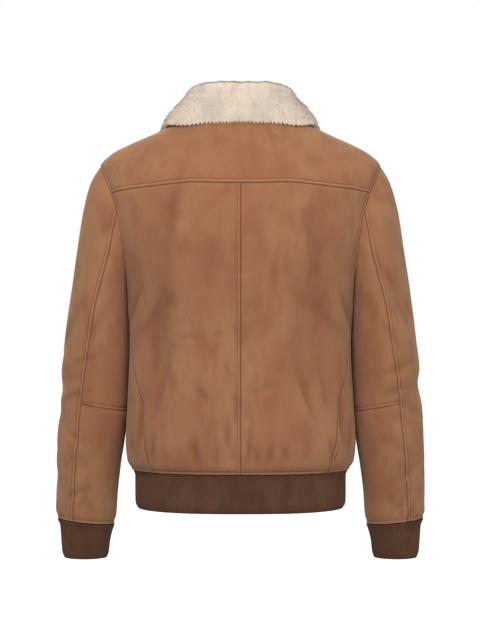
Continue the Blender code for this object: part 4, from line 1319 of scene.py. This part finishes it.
class BLOUSON_OT_rib_knit(bpy.types.Operator):
    """One-by-one rib on the hem band and both cuffs"""

    bl_idname = "blouson.rib_knit"
    bl_label = "Rib knit"

    def execute(self, context):
        build_rib("hem_rib_knit", "hem_rib", hem_rib_points(), 1, False, HEM_RIB_HEIGHT)
        for name, side in SIDES:
            points = cuff_points(side)
            node = "cuff_rib_" + name
            build_rib("cuff_knit_" + name, node, points, side, True, CUFF_HEIGHT)
        return {"FINISHED"}


# Collar


def body_normals(angle, level):
    """Outward normals of the body's surface."""
    turn, rise = 0.5, 0.0008
    around = body_points(angle + turn, level) - body_points(angle - turn, level)
    up = body_points(angle, level + rise) - body_points(angle, level - rise)
    normal = unit(np.cross(up, around))
    turned = np.radians(angle)
    outwards = np.stack([np.sin(turned), np.cos(turned), np.full_like(angle, 0.3)], -1)
    return normal * np.where((normal * outwards).sum(-1) > 0, 1.0, -1.0)[..., None]


def collar_grid(count):
    """Skin and pile-surface points of the collar, from the neck seam over the fold to the edge."""
    angle = np.linspace(-COLLAR_END, COLLAR_END, count)
    columns = np.moveaxis(collar_section(np.abs(angle)), -1, 0)
    _, fold_radius, fold_level, edge_level, edge_angle, fleece = columns
    hand = np.where(angle >= 0, 1.0, -1.0)
    seam = body_points(angle, np.full_like(angle, NECK_LEVEL))
    seam_profile = np.stack([np.hypot(seam[:, 0], seam[:, 1]), seam[:, 2] + SEAM_GAP], -1)
    lift = body_normals(hand * edge_angle, edge_level) * COLLAR_LIFT
    edge = body_points(hand * edge_angle, edge_level) + lift
    edge_profile = np.stack([np.hypot(edge[:, 0], edge[:, 1]), edge[:, 2]], -1)
    top = np.stack([fold_radius, fold_level - FOLD_RADIUS], -1)
    rows, shares = [], []
    for step in range(STAND_STEPS):
        end = top - (FOLD_RADIUS, 0.0)
        rows.append(seam_profile + (end - seam_profile) * step / STAND_STEPS)
        shares.append(0.0)
    for step in range(TURN_STEPS + 1):
        turn = math.pi * (1.0 - step / TURN_STEPS)
        rows.append(top + np.array((math.cos(turn), math.sin(turn))) * FOLD_RADIUS)
        shares.append(0.0)
    start = top + (FOLD_RADIUS, 0.0)
    for step in range(1, FALL_STEPS + 1):
        part = step / FALL_STEPS
        bow = np.array(FALL_BOW) * math.sin(math.pi * part)
        rows.append(start + (edge_profile - start) * part + bow)
        shares.append(part)
    skin = np.stack(rows)
    along = unit(np.gradient(skin, axis=0))
    outwards = np.stack([-along[..., 1], along[..., 0]], axis=-1)
    # Thinner at the neck seam, full over the fold and thinner again towards the edge
    part = np.linspace(0.0, 1.0, len(rows))
    thick = np.where(part < 0.1, 0.85 + 1.5 * part, 1.0) * (1.0 - 0.20 * ease((part - 0.86) / 0.14))
    pile = skin + outwards * (thick[:, None] * fleece[None, :])[..., None]
    turns = np.radians(angle[None, :] + (hand * edge_angle - angle)[None, :] * np.array(shares)[:, None])

    def place(profile):
        radius, height = profile[..., 0], profile[..., 1]
        return np.stack([radius * np.sin(turns), radius * np.cos(turns), height], -1)

    return place(skin), place(pile)


def lumps(points, scale, height):
    """Smooth random bumps of this height, with this many to the metre."""
    flat = (points.reshape(-1, 3) * scale).tolist()
    return height * np.array([noise.noise(place) for place in flat]).reshape(points.shape[:2])


def sample_grid(grid, row, column):
    """Values of a grid at fractional rows and columns."""
    r0 = np.clip(np.floor(row).astype(int), 0, grid.shape[0] - 2)
    c0 = np.clip(np.floor(column).astype(int), 0, grid.shape[1] - 2)
    fr, fc = (row - r0)[:, None], (column - c0)[:, None]
    low = grid[r0, c0] * (1 - fc) + grid[r0, c0 + 1] * fc
    high = grid[r0 + 1, c0] * (1 - fc) + grid[r0 + 1, c0 + 1] * fc
    return low * (1 - fr) + high * fr


def random_places(grid, rows, count, rng):
    """Fractional rows and columns spread evenly by area over a range of the grid's rows."""
    part = grid[rows[0] : rows[1] + 1]
    down = np.linalg.norm(np.diff(part, axis=0)[:, :-1], axis=-1)
    wide = np.linalg.norm(np.diff(part, axis=1)[:-1], axis=-1)
    area = (down * wide).ravel()
    cells = rng.choice(len(area), size=count, p=area / area.sum())
    columns = part.shape[1] - 1
    row = cells // columns + rng.random(count) + rows[0]
    return row, cells % columns + rng.random(count)


def crest_share(row, width):
    """1 at the collar's crest, falling away over this many rows on both sides."""
    return hump(row - CREST_ROW, width)


def tuft_places(row, column, last_row, last_column):
    """Row and column of the middle of each lock's tuft, in uneven rows that are out of step."""
    tuft_row = np.clip(np.round(row / TUFT_ROWS) * TUFT_ROWS, 0, last_row)
    shift = 0.37 * np.sin(tuft_row * 9.1)
    number = np.round(column / TUFT_COLUMNS + shift)
    tuft_column = (number - shift + 0.42 * np.sin(number * 12.9)) * TUFT_COLUMNS
    return tuft_row, np.clip(tuft_column, 0, last_column)


def build_pile(name, bed, normals, rows, count, length, seed):
    """Short wool locks as flat tapering blades, rooted on the bed and combed down the fall."""
    rng = np.random.default_rng(seed)
    row, column = random_places(bed, rows, count, rng)
    last = bed.shape[0] - 1
    root = sample_grid(bed, row, column)
    normal = unit(sample_grid(normals, row, column))
    fall = unit(sample_grid(np.gradient(bed, axis=0), row, column))
    tuft = sample_grid(bed, *tuft_places(row, column, last, bed.shape[1] - 1))
    # At the edge the locks are longer and drawn together, and over the crest they are short
    near_edge = ease((row - last + EDGE_LOCK_ROWS) / EDGE_LOCK_ROWS)[:, None]
    near_crest = np.exp(-(np.maximum(np.abs(row - CREST_ROW) - 1.5, 0.0) ** 2) / 3.0)[:, None]
    reach = length * rng.uniform(*LOCK_LENGTHS, (count, 1)) * (1.0 + 0.15 * near_edge)
    reach = reach * (1.0 - CREST_SHORTENING * near_crest)
    # They stand on the collar stand, are combed down the fall and droop from the crest
    down_fall = ease((row - FOLD_ROW + COMB_LEAD) / COMB_ROWS)[:, None]
    comb = STAND_COMB + (FALL_COMB - STAND_COMB) * down_fall
    comb = comb + CREST_COMB * crest_share(row, CREST_COMB_ROWS)[:, None]
    lean = comb * (1.0 + 0.6 * near_edge)
    upright = normal * (1.0 - 0.5 * near_edge)
    wild = rng.normal(0.0, 0.20, (count, 3))
    droop = CREST_DROOP * crest_share(row, CREST_DROOP_ROWS)[:, None] * DOWN
    direction = unit(upright + fall * lean + droop + wild)
    middle = root + direction * reach * 0.55
    tip = root + unit(direction + fall * 0.45 * lean + rng.normal(0.0, 0.10, (count, 3))) * reach
    pull = tuft + (upright + fall * lean) * length * 0.8
    tip = tip + (pull - tip) * (TUFT_PULL + EDGE_TUFT_PULL * near_edge)
    # Each blade has two corners at the root, two at the middle and one at the tip
    turn = rng.uniform(-0.9, 0.9, (count, 1))
    width = unit(unit(np.cross(normal, fall)) * np.cos(turn) + normal * np.sin(turn))
    half = rng.uniform(*LOCK_HALF_WIDTHS, (count, 1))
    facing = (np.cross(width, direction) * normal).sum(1, keepdims=True)
    side = width * np.where(facing < 0, -half, half)
    vertices = np.stack([root - side, root + side, middle + side * 0.8, middle - side * 0.8, tip], 1)
    corners = vertices.shape[1]
    start = np.arange(count)[:, None] * corners
    faces = (start + np.array([[0, 1, 2, 3]])).tolist() + (start + np.array([[3, 2, 4]])).tolist()
    # Painted shade towards each lock's root, and a random tone for each lock
    values = {"depth": np.tile(LOCK_ROOT_SHADES, count), "tone": np.repeat(rng.random(count) ** 2, corners)}
    piece = add_mesh(name, vertices.reshape(-1, 3), faces, [pile_material()], None, values)
    # The coat's slope leans upwards, and more so from the fold inwards
    over_fold = ease((FOLD_ROW + 3.0 - row) / 6.0)[:, None]
    slope = normal * (1.0 - 0.6 * over_fold) + NAP_LIFT * (1.0 + 2.0 * over_fold) + 0.25 * wild
    add_nap(piece, np.repeat(unit(slope), corners, axis=0))
    piece.visible_shadow = False
    return piece


def add_nap(piece, directions):
    """Keeps the coat's own slope at each point, so that the locks are lit as one soft surface."""
    attribute = piece.data.attributes.new("nap", "FLOAT_VECTOR", "POINT")
    attribute.data.foreach_set("vector", np.asarray(directions, np.float32).ravel())


def collar_bed(skin, pile, normals):
    """The fleece under the locks, between the skin and the pile's surface, a little lumpy."""
    row = np.arange(skin.shape[0])[:, None, None]
    fullness = BED_FULLNESS + CREST_FULLNESS * crest_share(row, CREST_FULL_ROWS)
    bed = skin + (pile - skin) * fullness
    return bed + normals * sum(lumps(bed, *size) for size in BED_LUMPS)[..., None]


def draw_in(grid, share):
    """Shortens the last rows of a grid, in place, to a share of how far they reach."""
    before = grid[-EDGE_ROWS - 1]
    grid[-EDGE_ROWS:] = before + (grid[-EDGE_ROWS:] - before) * share


def build_collar(strands, length):
    """The fleece bed over its skin, with this many locks of this length on the fall."""
    skin, pile = collar_grid(COLLAR_COLUMNS)
    normals = grid_normals(pile, 1)
    if (normals * (pile - skin)).sum() < 0:
        normals = -normals
    bed = collar_bed(skin, pile, normals)
    angles = np.linspace(-COLLAR_END, COLLAR_END, COLLAR_COLUMNS)
    draw_in(bed, BED_SHARE)
    draw_in(skin, (SKIN_SHARE + SKIN_DROP * hump(angles, SKIN_DROP_ANGLE))[:, None])
    # The bed gets a middling painted shade, as under the locks
    values = {"depth": np.full(bed.shape[:2], 0.5), "tone": np.zeros(bed.shape[:2])}
    materials = [pile_material(), skin_material()]
    piece = add_shell("collar_shearling", bed, skin, 1, materials, values)
    own = np.empty(len(piece.data.vertices) * 3)
    piece.data.vertices.foreach_get("normal", own)
    add_nap(piece, own.reshape(-1, 3))
    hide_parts("shearling_collar")
    last = bed.shape[0] - 1
    piles = (
        # name, first and last row, number, length, seed
        ("fall", (STAND_STEPS + 2, last - 2), strands, length, 11),
        ("edge", (last - 3, last), strands // 5, length * 1.1, 13),
        ("stand", (0, STAND_STEPS), strands // 2, length * 0.85, 12),
    )
    pieces = [build_pile("collar_pile_" + name, bed, normals, *pile) for name, *pile in piles]


class BLOUSON_OT_collar(bpy.types.Operator):
    """Shearling collar: its skin and the pile that stands on it"""

    bl_idname = "blouson.collar"
    bl_label = "Collar"

    def execute(self, context):
        sizes = context.scene.blouson_sizes
        build_collar(sizes.pile_locks, sizes.pile_length)
        return {"FINISHED"}


# Stitching


def stitch_path(panel, curve, offset, tree):
    """Points at a fixed offset inside a panel's seam, and its surface normals there."""
    run = run_along(curve)
    even = point_at(np.arange(offset * 0.5, run[-1] - offset * 0.5, STITCH_SAMPLE), run, curve)
    tangent = unit(np.gradient(even, axis=0))
    normal = np.array([tree.find_nearest(point)[1] for point in even.tolist()])
    middle = panel.base[panel.base.shape[0] // 2, panel.base.shape[1] // 2]
    inwards = unit(np.cross(normal, tangent))
    if ((middle - even) * inwards).sum() < 0:
        inwards = -inwards
    found = [tree.find_nearest(point) for point in (even + inwards * offset).tolist()]
    return np.array([hit[0] for hit in found]), np.array([hit[1] for hit in found])


def stitch_row(path, normals, pitch, thread):
    """Separate stitches along a path: each dips into the suede at its ends."""
    run = run_along(path)
    vertices, faces = [], []
    for number in range(int(run[-1] / pitch)):
        faces += loft_faces(len(vertices), len(STITCH_SHAPE), THREAD_TURN)
        for part, rise, swell in STITCH_SHAPE:
            place = (number + part) * pitch
            nearest = min(int(np.searchsorted(run, place)), len(run) - 1)
            normal = normals[nearest]
            ahead = path[min(nearest + 1, len(path) - 1)] - path[max(nearest - 1, 0)]
            beside = np.cross(normal, ahead)
            beside /= max(np.linalg.norm(beside), 1e-12)
            centre = point_at(place, run, path) + normal * thread * rise
            for corner in range(THREAD_TURN):
                turn = 2.0 * math.pi * corner / THREAD_TURN + math.pi / 4.0
                offset = beside * math.cos(turn) + normal * math.sin(turn)
                vertices.append(centre + offset * thread * swell)
    return vertices, faces


class BLOUSON_OT_stitching(bpy.types.Operator):
    """Topstitching beside every welted seam and edge"""

    bl_idname = "blouson.stitching"
    bl_label = "Stitching"

    def execute(self, context):
        sizes = context.scene.blouson_sizes
        vertices, faces = [], []
        for panel in PANELS.values():
            rows, columns = panel.surface.shape[:2]
            skin = grid_faces(rows, columns)
            if panel.outward < 0:
                skin = skin[:, ::-1]
            tree = BVHTree.FromPolygons(panel.surface.reshape(-1, 3).tolist(), skin.tolist())
            for _, curve, style in panel.seams:
                if style == "plain":
                    continue
                path, normals = stitch_path(panel, curve, seam_style(style)["stitch_offset"], tree)
                more, sides = stitch_row(path, normals, sizes.stitch_pitch, sizes.thread_radius)
                faces += [tuple(index + len(vertices) for index in face) for face in sides]
                vertices += more
        piece = add_mesh("topstitching", vertices, faces, [thread_material()])
        return {"FINISHED"}


# Zip


def zip_line(count):
    """Points down the middle of the closed zip on the tapes' outside, and their outward normals."""
    levels = np.linspace(NECK_LEVEL - ZIP_TOP_GAP, HEM_LEVEL, count)
    upper = body_points(np.full(count, 180.0), levels)
    drops = np.linspace(*ZIP_RIB_DROPS, 12)
    tapers = hem_rib_section(drops)[:, 1]
    foot = body_points(np.array(180.0), np.array(HEM_LEVEL))
    lower = foot + np.stack([np.zeros_like(drops), tapers, -drops], -1)
    line = np.concatenate([upper, lower]) * (0, 1, 1)
    down = unit(np.gradient(line, axis=0))
    normal = np.stack([np.zeros(len(line)), down[:, 2], -down[:, 1]], -1)
    return line - normal * (WALL + SEAM_GAP), normal


def build_tape(name, node, side):
    line, normal = zip_line(TAPE_ROWS)
    near = SEAM_GAP / 2.0
    offsets = np.array((near, near + 0.0008, 0.004, 0.008, 0.012, 0.0150, TAPE_WIDTH))
    outer = line[:, None, :] + np.array((1.0, 0.0, 0.0)) * (offsets * side)[None, :, None]
    inner = outer - normal[:, None, :] * TAPE_WALL
    piece = add_shell(name, outer, inner, -side, [tape_material(), tape_material()], {})
    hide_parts(node)


def build_teeth(name, side):
    """Moulded metal teeth, one every pitch, each gripping the tape's edge and meshing at the middle."""
    line, normal = zip_line(ZIP_SAMPLES)
    run = run_along(line)
    first = TEETH_TOP + (TOOTH_PITCH / 2.0 if side < 0 else 0.0)
    vertices, faces = [], []
    for place in np.arange(first, run[-1] - TEETH_FOOT, TOOTH_PITCH):
        out = unit(point_at(place, run, normal))
        down = np.array((0.0, out[2], -out[1]))
        centre = point_at(place, run, line) - out * TAPE_THICKNESS / 2.0
        faces += loft_faces(len(vertices), len(TOOTH_SECTIONS))
        for across, half_length, half_height in TOOTH_SECTIONS:
            for low, high in ((-1, -1), (1, -1), (1, 1), (-1, 1)):
                offset = down * half_length * low + out * half_height * high
                vertices.append(centre + offset + np.array((across * side, 0.0, 0.0)))
    if side < 0:
        faces = [face[::-1] for face in faces]
    piece = add_mesh(name, vertices, faces, [metal_material()])
    set_smooth(piece.data, False)


def build_refined(node, body, bevel):
    """The solid's own form with its edges rounded."""
    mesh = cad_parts[node].data.copy()
    mesh.materials.clear()
    mesh.materials.append(metal_material())
    form = bmesh.new()
    form.from_mesh(mesh)
    bmesh.ops.remove_doubles(form, verts=form.verts, dist=1e-6)
    bmesh.ops.dissolve_limit(form, angle_limit=FLAT_ANGLE, verts=form.verts, edges=form.edges)
    joined = [edge for edge in form.edges if len(edge.link_faces) == 2]
    sharp = [edge for edge in joined if edge.calc_face_angle(0.0) > SHARP_ANGLE]
    rounding = {"offset": bevel, "segments": 2, "profile": 0.6, "clamp_overlap": True}
    bmesh.ops.bevel(form, geom=sharp, affect="EDGES", **rounding)
    form.to_mesh(mesh)
    form.free()
    set_smooth(mesh, True)
    piece = add_object(node + "_metal", mesh)
    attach(piece, body)
    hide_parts(node)


class BLOUSON_OT_zip(bpy.types.Operator):
    """Tapes, teeth, slider, pull tab and bottom box"""

    bl_idname = "blouson.zip"
    bl_label = "Zip"

    def execute(self, context):
        for name, side in SIDES:
            build_tape("zip_tape_twill_" + name, "zip_tape_" + name, side)
            build_teeth("zip_teeth_" + name, side)
        for node, body in (("zip_slider", CLOTH_BODY), ("zip_pull", PULL_BODY), ("zip_box", CLOTH_BODY)):
            build_refined(node, body, METAL_BEVEL)
        return {"FINISHED"}


# Stage


def add_area(name, place, target, size, power):
    light = bpy.data.lights.new(name, "AREA")
    light.shape = "RECTANGLE"
    light.size = light.size_y = size
    light.energy = power
    item = add_object(name, light)
    item.location = place
    item.rotation_mode = "QUATERNION"
    item.rotation_quaternion = Vector(np.array(target) - np.array(place)).to_track_quat("-Z", "Y")


def add_camera():
    camera = add_object("camera", bpy.data.cameras.new("camera"))
    camera.location = CAMERA_PLACE
    camera.rotation_euler = (math.radians(90.0), 0.0, math.radians(180.0))
    camera.data.sensor_fit = "AUTO"
    camera.data.sensor_width = SENSOR
    camera.data.lens = SENSOR * CAMERA_PLACE[1] / PICTURE_HEIGHT
    camera.data.clip_start = 0.05
    camera.data.clip_end = 60.0
    bpy.context.scene.camera = camera


def add_floor():
    """A pale floor far below, which sends no light back up."""
    material = bpy.data.materials.new("pale_floor")
    material.use_nodes = True
    white = (1.0, 1.0, 1.0)
    values = {"Base Color": (0.9, 0.9, 0.9), "Roughness": 0.9}
    values.update({"Emission Color": white, "Emission Strength": 0.6})
    Nodes(material.node_tree).fill(material.node_tree.nodes["Principled BSDF"], values)
    mesh = bpy.data.meshes.new("floor")
    signs = ((-1, -1), (1, -1), (1, 1), (-1, 1))
    corners = [(x * FLOOR_HALF, y * FLOOR_HALF, FLOOR_LEVEL) for x, y in signs]
    mesh.from_pydata(corners, [], [(0, 1, 2, 3)])
    mesh.materials.append(material)
    floor = add_object("floor", mesh)
    floor.visible_diffuse = False


def add_room():
    """White where the camera sees it. As light it is dimmer, and brighter above than below."""
    world = bpy.data.worlds.new("pale_room")
    bpy.context.scene.world = world
    world.use_nodes = True
    n = Nodes(world.node_tree)
    direction = n.add("ShaderNodeSeparateXYZ", {0: n.add("ShaderNodeTexCoord").outputs["Generated"]})
    room = n.spread(direction.outputs["Z"], -0.8, 0.9, 0.32, 0.62)
    seen = n.add("ShaderNodeLightPath").outputs["Is Camera Ray"]
    values = {"Color": (1.0, 1.0, 1.0), "Strength": n.math("MAXIMUM", room, seen)}
    n.fill(world.node_tree.nodes["Background"], values)


class BLOUSON_OT_stage(bpy.types.Operator):
    """Pale floor, soft light and the camera behind the jacket"""

    bl_idname = "blouson.stage"
    bl_label = "Stage"

    def execute(self, context):
        add_camera()
        add_floor()
        add_room()
        context.scene.view_settings.view_transform = "Standard"
        for light in LIGHTS:
            add_area(*light)
        return {"FINISHED"}


def length_property(name, description, default, least):
    return FloatProperty(name=name, description=description, default=default, min=least, unit="LENGTH")


def colour_property(name, description, *default):
    return FloatVectorProperty(name=name, description=description, subtype="COLOR", default=default)


class BlousonSizes(bpy.types.PropertyGroup):
    cloth_pitch: length_property("Cloth pitch", "Between grid lines on a panel", 0.0045, 0.002)
    pile_locks: IntProperty(
        name="Pile locks", description="Wool locks on the collar's fall", default=56000, min=100
    )
    pile_length: length_property("Pile length", "Length of the wool", 0.0070, 0.001)
    stitch_pitch: length_property("Stitch length", "From stitch to stitch", 0.0042, 0.001)
    thread_radius: length_property("Thread radius", "Of the topstitching thread", 0.00032, 0.0001)


class BlousonColours(bpy.types.PropertyGroup):
    suede: colour_property("Suede", "Middle tone of the nap", 0.300, 0.130, 0.062)
    suede_light: colour_property("Suede, light", "Nap lying towards the light", 0.330, 0.156, 0.075)
    suede_dark: colour_property("Suede, dark", "Nap lying away from the light", 0.262, 0.105, 0.050)
    rib: colour_property("Rib knit", "Hem and cuffs", 0.098, 0.045, 0.0262)
    fleece: colour_property("Shearling", "Wool of the collar", 0.735, 0.632, 0.525)
    tape: colour_property("Zip tape", "Twill beside the teeth", 0.070, 0.040, 0.026)
    metal: colour_property("Zip metal", "Teeth, slider and pull", 0.420, 0.330, 0.220)
    thread: colour_property("Thread", "Topstitching", 0.220, 0.092, 0.043)


STEPS = (
    BLOUSON_OT_body,
    BLOUSON_OT_sleeves,
    BLOUSON_OT_rib_knit,
    BLOUSON_OT_collar,
    BLOUSON_OT_stitching,
    BLOUSON_OT_zip,
    BLOUSON_OT_stage,
)


class BLOUSON_PT_build(bpy.types.Panel):
    """Sizes and colours to set, and one button for each step of the build"""

    bl_idname = "BLOUSON_PT_build"
    bl_label = "Blouson"
    bl_space_type = "VIEW_3D"
    bl_region_type = "UI"
    bl_category = "Blouson"

    def draw(self, context):
        for group in (context.scene.blouson_sizes, context.scene.blouson_colours):
            for name in group.bl_rna.properties.keys():
                if name not in ("rna_type", "name"):
                    self.layout.prop(group, name)
        for step in STEPS:
            self.layout.operator(step.bl_idname)


CLASSES = (BlousonSizes, BlousonColours, *STEPS, BLOUSON_PT_build)


def register():
    for item in CLASSES:
        bpy.utils.register_class(item)
    bpy.types.Scene.blouson_sizes = bpy.props.PointerProperty(type=BlousonSizes)
    bpy.types.Scene.blouson_colours = bpy.props.PointerProperty(type=BlousonColours)


def unregister():
    del bpy.types.Scene.blouson_colours
    del bpy.types.Scene.blouson_sizes
    for item in reversed(CLASSES):
        bpy.utils.unregister_class(item)


def main():
    register()
    for step in STEPS:
        group, name = step.bl_idname.split(".")
        getattr(getattr(bpy.ops, group), name)()


if __name__ == "__main__":
    main()
